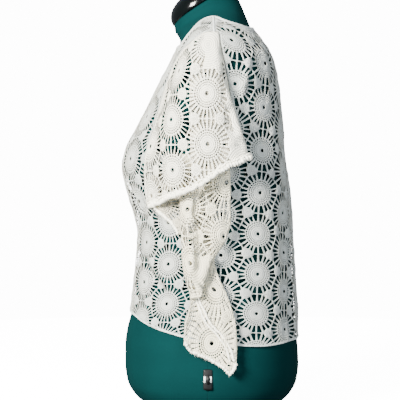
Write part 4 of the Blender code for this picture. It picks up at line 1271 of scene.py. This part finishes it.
# the sleeve's front edge, turned under and lying over the side of the front panel
turnedEdge = {
    "front": (  # height and place along Y
        (0.405, -0.094),
        (0.372, -0.096),
        (0.356, -0.089),
        (0.348, -0.084),
        (0.329, -0.062),
        (0.308, -0.050),
    ),
    "back": -0.0455,
    "out": 0.0050,
    "columns": {0: 0.1150, 1: 0.1610},
    "rows": {"first": 0.3300, "pitch": 0.0622, "growth": 0.0, "lean": 0.0, "whole": 0},
    "bar": 1.4,
    "evenRings": (-9, 9),
    "thick": 0.0010,
    "margin": 0.0026,
    "clear": 0.0,
    "seed": 57,
    "folds": (
        (0.120, 0.372, 0.150, 0.350, -0.0014, 0.005),
        (0.128, 0.352, 0.150, 0.330, 0.0014, 0.005),
    ),
}


def makeTurnedEdge():
    flatMap = PanelMap(False)
    turns = np.linspace(0.1, math.pi / 2, 160)

    def flatPlace(height, y):
        line = torsoPoint(readTop, turns, np.full(len(turns), height))[:, 1]
        return flatMap.flat(float(np.interp(y, line, turns)), height)

    front = [flatPlace(height, y) for height, y in turnedEdge["front"]]
    low, high = turnedEdge["front"][-1][0], turnedEdge["front"][0][0]
    back = [flatPlace(height, turnedEdge["back"]) for height in np.linspace(low, high, 30)]
    outline = joined(even(front, 0.003), back)

    def place(across, up):
        middle, normal = flatMap.place(across, up)
        return middle + normal * turnedEdge["out"], normal

    lattice = Lattice(turnedEdge["columns"], turnedEdge["rows"], False)
    # painted shade: the turned edge takes the darker shaded inner cotton
    piece = laceWall("sleeveTurnLeft", outline, lattice, turnedEdge, place, shadedInnerCotton)
    run = np.array(even(front[1:], 0.0012))
    middle, normal = place(run[:, 0], run[:, 1])
    turnedEdge["line"] = (middle + normal * 0.0006, normal)
    return piece


turnLeft = makeTurnedEdge()
turnRight = mirrored(turnLeft, "sleeveTurnRight")

# under part of a sleeve, turned over in a cascade from the underarm to the tip: places along Y by height,
# then shares of how far it stands off the side and of its relief
underNames = ("height", "edge", "sheet", "crease", "fold", "turn", "ridge", "rim", "stand", "relief")
underRows = (
    (0.4370, 0.0270, 0.0100, -0.0080, -0.0260, -0.0480, -0.0060, 0.0120, 0.80, 0.4),
    (0.4040, 0.0310, 0.0100, -0.0180, -0.0320, -0.0490, -0.0100, 0.0080, 0.88, 0.6),
    (0.3680, 0.0315, 0.0060, -0.0270, -0.0390, -0.0490, -0.0140, 0.0064, 0.90, 0.8),
    (0.3310, 0.0315, 0.0080, -0.0280, -0.0400, -0.0490, -0.0180, 0.0050, 1.00, 1.0),
    (0.3010, 0.0240, 0.0050, -0.0213, -0.0350, -0.0476, -0.0200, 0.0048, 1.00, 1.0),
    (0.2690, 0.0045, -0.0050, -0.0175, -0.0330, -0.0460, -0.0200, 0.0052, 1.00, 0.9),
    (0.2370, -0.0060, -0.0130, -0.0220, -0.0320, -0.0413, -0.0190, 0.0140, 0.95, 0.5),
    (0.2100, -0.0150, -0.0190, -0.0235, -0.0280, -0.0325, -0.0120, 0.0268, 0.80, 0.1),
    (0.1700, -0.0230, -0.0270, -0.0310, -0.0350, -0.0397, -0.0050, 0.0385, 0.80, 0.1),
    (0.1380, -0.0260, -0.0300, -0.0340, -0.0380, -0.0428, 0.0230, 0.0412, 0.80, 0.1),
    (0.0800, -0.0280, -0.0320, -0.0360, -0.0400, -0.0440, 0.0290, 0.0390, 0.80, 0.1),
)
readUnder = tableReader(underNames, underRows)
underSleeve = {
    "columns": {-1: -0.018, 0: 0.045},
    "rows": {"first": 0.1790, "pitch": 0.0850, "growth": 0.0, "lean": 0.0, "whole": 1},
    "off": {
        "edge": 0.0175,
        "sheet": 0.0270,
        "crease": 0.0185,
        "fold": 0.0255,
        "turn": 0.0120,
        "inner": 0.0025,
        "ridge": 0.0080,
        "rim": 0.0060,
    },
    "knot": 0.2100,
    "seam": (  # height and place along Y
        (0.2085, -0.0225),
        (0.1900, -0.0140),
        (0.1692, -0.0044),
        (0.1478, 0.0150),
        (0.1240, 0.0290),
        (0.1080, 0.0330),
    ),
    "seat": 0.0044,  # how far its head goes in under the underarm
    "clearSide": 0.0026,
    "evenOff": 0.0210,
    "hem": (
        (-0.0400, 0.1360),
        (-0.0330, 0.1250),
        (-0.0175, 0.1185),
        (0.0014, 0.1103),
        (0.0219, 0.0990),
        (0.0290, 0.0885),
        (0.0370, 0.0985),
    ),
    "bar": 1.3,
    "tight": ((-0.090, 0.200, 0.050, 0.235, 4.3),),
    "plain": ((-0.090, -0.020, 0.215, 0.275),),
    "evenRings": (-9, 9),
    "thick": 0.0010,
    "margin": 0.0035,
    "clear": 0.0,
    "seed": 33,
    "folds": (
        (-0.026, 0.410, -0.024, 0.330, -0.0062, 0.004),
        (-0.024, 0.330, -0.022, 0.262, -0.0054, 0.004),
        (-0.010, 0.400, -0.010, 0.262, 0.0030, 0.006),
        (-0.052, 0.400, -0.046, 0.290, -0.0038, 0.005),
        (-0.040, 0.390, -0.036, 0.290, 0.0026, 0.005),
        (-0.072, 0.400, -0.064, 0.320, 0.0026, 0.006),
        (-0.052, 0.300, -0.034, 0.230, 0.0024, 0.006),
        (0.040, 0.204, 0.054, 0.140, -0.0034, 0.006),
        (0.054, 0.204, 0.070, 0.130, 0.0030, 0.007),
        (0.012, 0.190, 0.022, 0.126, 0.0028, 0.007),
        (0.002, 0.176, 0.008, 0.130, -0.0024, 0.005),
    ),
}


def underMap():
    heights = np.linspace(0.080, 0.437, 90)
    row = readUnder(heights)
    side = np.maximum(readTop(heights)["half"], readForm(heights)["half"])
    row["inner"] = (row["turn"] + row["ridge"]) / 2
    seat = underSleeve["seat"] * np.clip((heights - 0.3950) / 0.0250, 0, 1)
    evenOff = underSleeve["evenOff"]
    sections = []
    for k in range(len(heights)):
        section = []
        for name, off in underSleeve["off"].items():
            if name in ("edge", "sheet", "crease", "fold"):
                off = evenOff + (off - evenOff) * row["relief"][k]
            x = side[k] + underSleeve["clearSide"] + off * row["stand"][k]
            if name == "inner":
                x -= seat[k]
            section.append((x, row[name][k]))
        sections.append(section)
    return SheetMap(heights, sections, 4)


def underOutline(sheet):
    top = sheet.heights[-1]
    knot = underSleeve["knot"]
    hemPlaces = underSleeve["hem"]
    turned = [(sheet.mark(h, 0), h) for h in np.linspace(top, knot, 40)]
    front = [(0.0, knot - 0.003), (0.0, hemPlaces[0][1] + 0.002)]
    hem = [(sheet.findY(h, y, 4, 7), h) for y, h in hemPlaces]
    rim = [(sheet.mark(h, 7), h) for h in np.linspace(0.106, top, 50)]
    head = [(sheet.mark(top, number), top) for number in np.arange(6.5, 0, -0.5)]
    runs = (turned, turned[-1:] + front[:1], front, front[-1:] + hem, hem[-1:] + rim[:1], rim)
    return joined(*[even(run, 0.0035) for run in runs], head), np.array(front[-1:] + hem + rim[:1])


underSheet = underMap()
underEdge, underHemRun = underOutline(underSheet)
underLattice = Lattice(underSleeve["columns"], underSleeve["rows"], False)
underPlace = underSheet.place
underLeft = laceWall("sleeveFallLeft", underEdge, underLattice, underSleeve, underPlace, fallCotton)
underRight = mirrored(underLeft, "sleeveFallRight")


# closed bands of faces through rings of points, and the flat ends of an open one
def ringWalls(count, size, base=0, closed=False):
    walls = []
    for k in range(count if closed else count - 1):
        low = base + k * size
        high = base + (k + 1) % count * size
        for i in range(size):
            j = (i + 1) % size
            walls.append((low + i, low + j, high + j, high + i))
    return walls


def ringEnds(count, size, base=0):
    last = base + (count - 1) * size
    return [tuple(base + i for i in range(size)), tuple(last + i for i in reversed(range(size)))]


def wander(count, step, dice):
    knots = [dice.uniform(-1, 1) for _ in range(count // step + 3)]
    return np.interp(np.arange(count) / step, range(len(knots)), knots)[:, None]


# yarn tube along a line of points, with lumps like worked stitches
def yarnTube(lines, reach, lump, pitch, sway, sides, seed):
    dice = random.Random(seed)
    points = []
    polygons = []
    for line, closed in lines:
        line = np.asarray(line, float)
        before = np.roll(line, 1, axis=0)
        after = np.roll(line, -1, axis=0)
        if not closed:
            before[0], after[-1] = line[0], line[-1]
        way = unit(after - before)
        side = unit(np.cross(way, np.array([0.31, 0.22, 0.93])))
        up = np.cross(side, way)
        if sway:
            line = line + (up * wander(len(line), 4, dice) + side * wander(len(line), 5, dice)) * sway
        gone = 0.0
        base = len(points)
        for k in range(len(line)):
            if k:
                gone += float(np.linalg.norm(line[k] - line[k - 1]))
            wave = lump * math.sin(2 * math.pi * gone / pitch)
            swell = reach * (1 + wave + dice.uniform(-1, 1) * lump * 0.7)
            if not closed and k in (0, len(line) - 1):
                swell *= 0.35
            for i in range(sides):
                a = 2 * math.pi * i / sides
                points.append(line[k] + (side[k] * math.cos(a) + up[k] * math.sin(a)) * swell)
        polygons += ringWalls(len(line), sides, base, closed)
        if not closed:
            polygons += ringEnds(len(line), sides, base)
    return points, polygons


def plainPiece(name, points, polygons, material):
    mesh = bpy.data.meshes.new(name)
    mesh.from_pydata([tuple(float(v) for v in p) for p in points], [], polygons)
    mesh.update()
    mesh.materials.append(material)
    mesh.polygons.foreach_set("use_smooth", [True] * len(mesh.polygons))
    thing = link(bpy.data.objects.new(name, mesh))
    fixNormals(thing)
    return thing


def fixNormals(thing):
    work = bmesh.new()
    work.from_mesh(thing.data)
    bmesh.ops.recalc_face_normals(work, faces=work.faces[:])
    work.to_mesh(thing.data)
    work.free()


# narrow strip round the neckline
neckStrip = {"height": 0.0055, "thick": 0.0020, "low": 0.00036, "stations": 240, "sides": 10}


def makeNeckStrip():
    count = neckStrip["stations"]
    sides = neckStrip["sides"]
    turn = 2 * math.pi / count
    profile = []
    for i in range(sides):
        a = 2 * math.pi * i / sides
        across = math.copysign(abs(math.cos(a)) ** 0.7, math.cos(a)) * neckStrip["thick"] / 2
        up = (math.copysign(abs(math.sin(a)) ** 0.6, math.sin(a)) + 1) / 2 * neckStrip["height"]
        profile.append((across, up))
    points = []
    for k in range(count):
        signed = turn * k if turn * k <= math.pi else turn * k - 2 * math.pi
        height = edgeHeight(readNeckline, signed)
        ends = (signed - 4 * turn, signed + 4 * turn)
        before, after = (torsoPoint(readTop, a, edgeHeight(readNeckline, a)) for a in ends)
        middle, normal = topPoint(np.array([signed]), np.array([height]))
        up = unit(np.cross(normal[0], unit(after - before)))
        start = middle[0] + up * neckStrip["low"]
        for across, rise in profile:
            points.append(start + normal[0] * across + up * rise)
    return plainPiece("neckStrip", points, ringWalls(count, sides, 0, True), edgeCotton)


neckBand = makeNeckStrip()
print("neck strip ready")

# worked edges: the chunky sleeve hems, thin panel hems and the raised underarm seam
edges = {
    "sleeveHem": {"reach": 0.0036, "lump": 0.30, "pitch": 0.0052, "sway": 0.0012},
    "sleeveRidge": {"reach": 0.0018, "lump": 0.40, "pitch": 0.0045, "sway": 0.0014, "up": 0.0052},
    "turnedHem": {"reach": 0.0024, "lump": 0.30, "pitch": 0.0046, "sway": 0.0008},
    "fallHem": {"reach": 0.0024, "lump": 0.34, "pitch": 0.0046, "sway": 0.0010},
    "seamCord": {"reach": 0.0018, "lump": 0.24, "pitch": 0.0040, "apart": 0.0062, "sway": 0.0005},
    "shoulder": {"reach": 0.0019, "lump": 0.12, "pitch": 0.0050},
    "panelHem": {"reach": 0.0013, "lump": 0.18, "pitch": 0.0036},
    "whiskers": {"count": 300, "long": 0.0066, "thick": 0.0005},
}


def sheetLine(sheet, flatRun, out, step=0.0012):
    flatRun = np.array(even(flatRun, step))
    middle, normal = sheet.place(flatRun[:, 0], flatRun[:, 1])
    return middle + normal * out, normal


def whiskerSpikes(line, normal, seed):
    dice = random.Random(seed)
    look = edges["whiskers"]
    points = []
    polygons = []
    for _ in range(look["count"]):
        k = dice.randrange(2, len(line) - 2)
        down = np.array([dice.uniform(-0.5, 0.5), dice.uniform(-0.5, 0.5), -1.0])
        way = down + normal[k] * dice.uniform(0.0, 0.9)
        way = way / np.linalg.norm(way) * look["long"] * dice.uniform(0.5, 1.0)
        base = len(points)
        side = unit(np.cross(way, normal[k]))
        for i in range(3):
            a = 2 * math.pi * i / 3
            points.append(line[k] + (side * math.cos(a) + normal[k] * math.sin(a)) * look["thick"])
        points.append(line[k] + way)
        spike = ((0, 1, 3), (1, 2, 3), (2, 0, 3), (2, 1, 0))
        polygons += [tuple(base + i for i in face) for face in spike]
    return points, polygons


def addParts(parts):
    points = []
    polygons = []
    for morePoints, morePolygons in parts:
        base = len(points)
        points.extend(morePoints)
        polygons.extend(tuple(i + base for i in p) for p in morePolygons)
    return points, polygons


def tubeLook(name):
    look = edges[name]
    return look["reach"], look["lump"], look["pitch"], look.get("sway", 0.0)


def makeSleeveHem():
    line, normal = sheetLine(upperSheet, upperHemRun, 0.0012)
    raised = upperHemRun + np.array([0.0, edges["sleeveRidge"]["up"]])
    raised[0, 0] -= 0.003
    ridge, _ = sheetLine(upperSheet, raised, 0.0010)
    return addParts([
        yarnTube([(line, False)], *tubeLook("sleeveHem"), 8, 5),
        yarnTube([(ridge, False)], *tubeLook("sleeveRidge"), 6, 6),
        whiskerSpikes(line, normal, 7),
    ])


def makeTurnedHem():
    line, normal = turnedEdge["line"]
    return addParts([
        yarnTube([(line, False)], *tubeLook("turnedHem"), 7, 18),
        whiskerSpikes(line, normal, 19),
    ])


def makeFallEdges():
    line, normal = sheetLine(underSheet, underHemRun, 0.0008)
    seamRows = underSleeve["seam"]
    heights = np.linspace(seamRows[0][0], seamRows[-1][0], 70)
    places = smoothCurve([-row[0] for row in seamRows], [[row[1]] for row in seamRows], -heights)[:, 0]
    half = edges["seamCord"]["apart"] / 2
    cords = []
    for side in (-half, half):
        run = np.array([(underSheet.findY(h, y, 4, 7) + side, h) for h, y in zip(heights, places)])
        cords.append((sheetLine(underSheet, run, 0.0012)[0], False))
    return addParts([
        yarnTube([(line, False)], *tubeLook("fallHem"), 7, 8),
        yarnTube(cords, *tubeLook("seamCord"), 7, 9),
        whiskerSpikes(line, normal, 12),
    ])


def makeShoulderSeam():
    heights = np.linspace(shoulderTip - 0.004, edgeHeight(readNeckline, math.pi / 2) + 0.002, 40)
    middle, normal = topPoint(np.full(40, math.pi / 2), heights)
    return yarnTube([(middle + normal * 0.0004, False)], *tubeLook("shoulder"), 8, 16)


def makePanelHem(back):
    angles = np.linspace(-math.pi / 2, math.pi / 2, 420)[3:-3]
    if back:
        angles = math.pi - angles
    signed = np.where(angles > math.pi, angles - 2 * math.pi, angles)
    heights = np.array([edgeHeight(readHem, a) for a in signed]) + 0.0004
    middle, normal = topPoint(signed, heights)
    return yarnTube([(pushOffForm(middle, 0.0020), False)], *tubeLook("panelHem"), 6, 14)


hemLeft = plainPiece("sleeveHemLeft", *makeSleeveHem(), cordCotton)
hemRight = mirrored(hemLeft, "sleeveHemRight")
turnHemLeft = plainPiece("turnedHemLeft", *makeTurnedHem(), cordCotton)
turnHemRight = mirrored(turnHemLeft, "turnedHemRight")
fallEdgeLeft = plainPiece("fallEdgeLeft", *makeFallEdges(), cordCotton)
fallEdgeRight = mirrored(fallEdgeLeft, "fallEdgeRight")
shoulderLeft = plainPiece("shoulderSeamLeft", *makeShoulderSeam(), edgeCotton)
shoulderRight = mirrored(shoulderLeft, "shoulderSeamRight")
frontHem = plainPiece("frontHem", *makePanelHem(False), edgeCotton)
backHem = plainPiece("backHem", *makePanelHem(True), edgeCotton)
print("worked edges ready")

# covered form, its cap and the size adjusters at its sides
coveredForm = {
    "sides": 176,
    "levelStep": 0.0055,
    "coverTone": (0.0002, 0.0185, 0.0188),
    "coverShade": (0.0002, 0.0140, 0.0146),
    "seamTone": (0.001, 0.012, 0.012),
    "seamHalf": 0.0011,
    "seamTop": 0.30,
    "capTone": (0.0009, 0.0014, 0.0014),
    "capRise": 0.034,
    "capGap": 0.0003,
    "capSides": 96,
    "capRings": 22,
    "capSpread": 1.035,
}
adjuster = {  # size adjuster in the form's side
    "height": 0.078,
    "y": -0.005,
    "blackTone": (0.0015, 0.0015, 0.0017),
    "whiteTone": (0.55, 0.55, 0.53),
    "slotHalf": (0.0073, 0.0165),
    "slotSteps": ((-0.004, 1.0), (0.0010, 1.0), (0.0016, 0.86)),  # out of the side, share of the size
    "wheelSteps": ((-0.0022, 0.0095), (-0.0016, 0.0103), (0.0016, 0.0103), (0.0022, 0.0095)),
    "wheelIn": 0.0045,
    "wheelAside": 0.0004,
    "teeth": 26,
    "toothDepth": 0.0007,
    "marks": ((-0.0066, -0.0030), (0.0034, 0.0062)),  # from and to along Y
    "markOut": (0.0008, 0.0021),
    "markHalf": 0.0050,
    "markUp": 0.0005,
}


def ringPiece(name, rings, bottom, top, material):
    points = [p for ring in rings for p in ring]
    size = len(rings[0])
    polygons = ringWalls(len(rings), size)
    points += [bottom, top]
    last = (len(rings) - 1) * size
    for i in range(size):
        j = (i + 1) % size
        polygons.append((len(points) - 2, j, i))
        polygons.append((len(points) - 1, last + i, last + j))
    return plainPiece(name, points, polygons, material)


def coverMaterial():
    material, tree, shader = newMaterial("tealCover")
    coords = tree.nodes.new("ShaderNodeTexCoord").outputs["Object"]
    mottle = noiseNode(tree, coords, 14, 4)
    weave = noiseNode(tree, coords, 900, 2)
    share = mathNode(tree, "MULTIPLY", mathNode(tree, "SUBTRACT", mottle, 0.35), 1.5, True)
    tone = mixColour(tree, share, coveredForm["coverTone"], coveredForm["coverShade"])
    split = tree.nodes.new("ShaderNodeSeparateXYZ")
    tree.links.new(coords, split.inputs[0])
    off = mathNode(tree, "ABSOLUTE", mathNode(tree, "SUBTRACT", split.outputs[1], adjuster["y"]))
    line = mathNode(tree, "SUBTRACT", 1.0, mathNode(tree, "DIVIDE", off, coveredForm["seamHalf"]), True)
    low = mathNode(tree, "LESS_THAN", split.outputs[2], coveredForm["seamTop"])
    seam = mathNode(tree, "MULTIPLY", line, low)
    seamShare = mathNode(tree, "MULTIPLY", seam, 0.55)
    colour = mixColour(tree, seamShare, tone, coveredForm["seamTone"])
    tree.links.new(colour, shader.inputs["Base Color"])
    height = mathNode(tree, "SUBTRACT", mathNode(tree, "MULTIPLY", weave, 0.4), seam)
    tree.links.new(bumpNode(tree, height, 0.35, 0.0008), shader.inputs["Normal"])
    shader.inputs["Roughness"].default_value = 0.85
    shader.inputs["Specular IOR Level"].default_value = 0.04
    return material


def glossMaterial(name, tone, roughness):
    material, tree, shader = newMaterial(name)
    coords = tree.nodes.new("ShaderNodeTexCoord").outputs["Object"]
    smear = noiseNode(tree, coords, 60, 3)
    colour = mixColour(tree, smear, tone, tuple(c * 1.6 for c in tone))
    tree.links.new(colour, shader.inputs["Base Color"])
    grain = noiseNode(tree, coords, 220, 2)
    tree.links.new(bumpNode(tree, grain, 0.08, 0.0004), shader.inputs["Normal"])
    shader.inputs["Roughness"].default_value = roughness
    shader.inputs["Specular IOR Level"].default_value = 0.22
    return material


def makeForm():
    angles = np.arange(coveredForm["sides"]) * 2 * math.pi / coveredForm["sides"]
    heights = [row[0] for row in formSections]
    levels = []
    for low, high in zip(heights, heights[1:]):
        count = max(2, int(round((high - low) / coveredForm["levelStep"])))
        levels.extend(low + (high - low) * k / count for k in range(count))
    levels.append(heights[-1])
    rings = [list(torsoPoint(readForm, angles, np.full(len(angles), level))) for level in levels]
    bottom = np.mean(rings[0], axis=0)
    top = np.mean(rings[-1], axis=0)
    return ringPiece("formCover", rings, bottom, top, coverMaterial())


def makeCap():
    sides = coveredForm["capSides"]
    angles = np.arange(sides) * 2 * math.pi / sides
    base = torsoPoint(readForm, angles, np.full(sides, formSections[-1][0]))
    centre = base.mean(axis=0)
    tilt = math.atan(formSections[-1][1])
    up = np.array([0.0, -math.sin(tilt), math.cos(tilt)])
    gap, capRise = coveredForm["capGap"], coveredForm["capRise"]
    rings = []
    for k in range(coveredForm["capRings"]):
        turn = math.pi / 2 * k / coveredForm["capRings"]
        spread = coveredForm["capSpread"] * math.cos(turn) ** 0.8
        rise = gap + capRise * math.sin(turn) ** 0.9
        rings.append([centre + (p - centre) * spread + up * rise for p in base])
    gloss = glossMaterial("capGloss", coveredForm["capTone"], 0.13)
    return ringPiece("capDome", rings, centre + up * gap, centre + up * (gap + capRise), gloss)


def boxPart(low, high):
    points = [(x, y, z) for x in (low[0], high[0]) for y in (low[1], high[1]) for z in (low[2], high[2])]
    polygons = [(0, 1, 3, 2), (4, 6, 7, 5), (0, 4, 5, 1), (2, 3, 7, 6), (0, 2, 6, 4), (1, 5, 7, 3)]
    return [np.array(p, float) for p in points], polygons


def loftPart(rings):
    points = [p for ring in rings for p in ring]
    size = len(rings[0])
    return points, ringWalls(len(rings), size) + ringEnds(len(rings), size)


def roundedBox(cornerWide, cornerHigh):
    places = []
    for k in range(24):
        a = 2 * math.pi * k / 24
        c, s = math.cos(a), math.sin(a)
        places.append((math.copysign(abs(c) ** cornerWide, c), math.copysign(abs(s) ** cornerHigh, s)))
    return places


def makeAdjuster():
    # slot, toothed wheel and the two light marks beside it
    y, z = adjuster["y"], adjuster["height"]
    face = float(torsoPoint(readForm, math.pi / 2, z)[0])
    wide, high = adjuster["slotHalf"]
    slot = []
    for out, grow in adjuster["slotSteps"]:
        rim = roundedBox(0.35, 0.16)
        slot.append([np.array([face + out, y + wide * grow * u, z + high * grow * v]) for u, v in rim])
    wheel = []
    teeth = adjuster["teeth"]
    for aside, reach in adjuster["wheelSteps"]:
        ring = []
        for k in range(teeth * 2):
            a = math.pi * k / teeth
            size = reach - (adjuster["toothDepth"] if k % 2 else 0.0)
            x = face - adjuster["wheelIn"] + size * math.cos(a)
            ring.append(np.array([x, y + adjuster["wheelAside"] + aside, z + size * math.sin(a)]))
        wheel.append(ring)
    near, far = (face + out for out in adjuster["markOut"])
    low = z + adjuster["markUp"] - adjuster["markHalf"]
    high = z + adjuster["markUp"] + adjuster["markHalf"]
    marks = [boxPart((near, y + start, low), (far, y + end, high)) for start, end in adjuster["marks"]]
    return loftPart(slot), loftPart(wheel), addParts(marks)


formPiece = makeForm()
capPiece = makeCap()
slotPart, wheelPart, marksPart = makeAdjuster()
blackTrim = glossMaterial("trimBlack", adjuster["blackTone"], 0.5)
whiteTrim = glossMaterial("trimWhite", adjuster["whiteTone"], 0.45)
slotLeft = plainPiece("adjusterSlotLeft", *slotPart, blackTrim)
wheelLeft = plainPiece("adjusterWheelLeft", *wheelPart, blackTrim)
marksLeft = plainPiece("adjusterMarksLeft", *marksPart, whiteTrim)
slotRight = mirrored(slotLeft, "adjusterSlotRight")
wheelRight = mirrored(wheelLeft, "adjusterWheelRight")
marksRight = mirrored(marksLeft, "adjusterMarksRight")
print("form ready")

# what each piece is made of, and which solid it stands for
standsFor = (
    (frontLace, "crochet_cotton", "top_front"),
    (backLace, "crochet_cotton", "top_back"),
    (neckBand, "crochet_cotton", "neck_binding"),
    (upperLeft, "crochet_cotton", "sleeve_upper_left"),
    (upperRight, "crochet_cotton", "sleeve_upper_right"),
    (underLeft, "crochet_cotton", "sleeve_under_left"),
    (underRight, "crochet_cotton", "sleeve_under_right"),
    (formPiece, "form_cover", "dress_form"),
    (capPiece, "cap_plastic", "neck_cap"),
)
for piece, slot, node in standsFor:
    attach(piece, "root")
    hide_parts(node)
worked = [hemLeft, hemRight, turnHemLeft, turnHemRight, fallEdgeLeft, fallEdgeRight, frontHem, backHem]
worked += [shoulderLeft, shoulderRight, innerLeft, innerRight, turnLeft, turnRight]
fittings = [slotLeft, wheelLeft, marksLeft, slotRight, wheelRight, marksRight]
for pieces, slot in ((worked, "crochet_cotton"), (fittings, "cap_plastic")):
    for piece in pieces:
        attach(piece, "root")
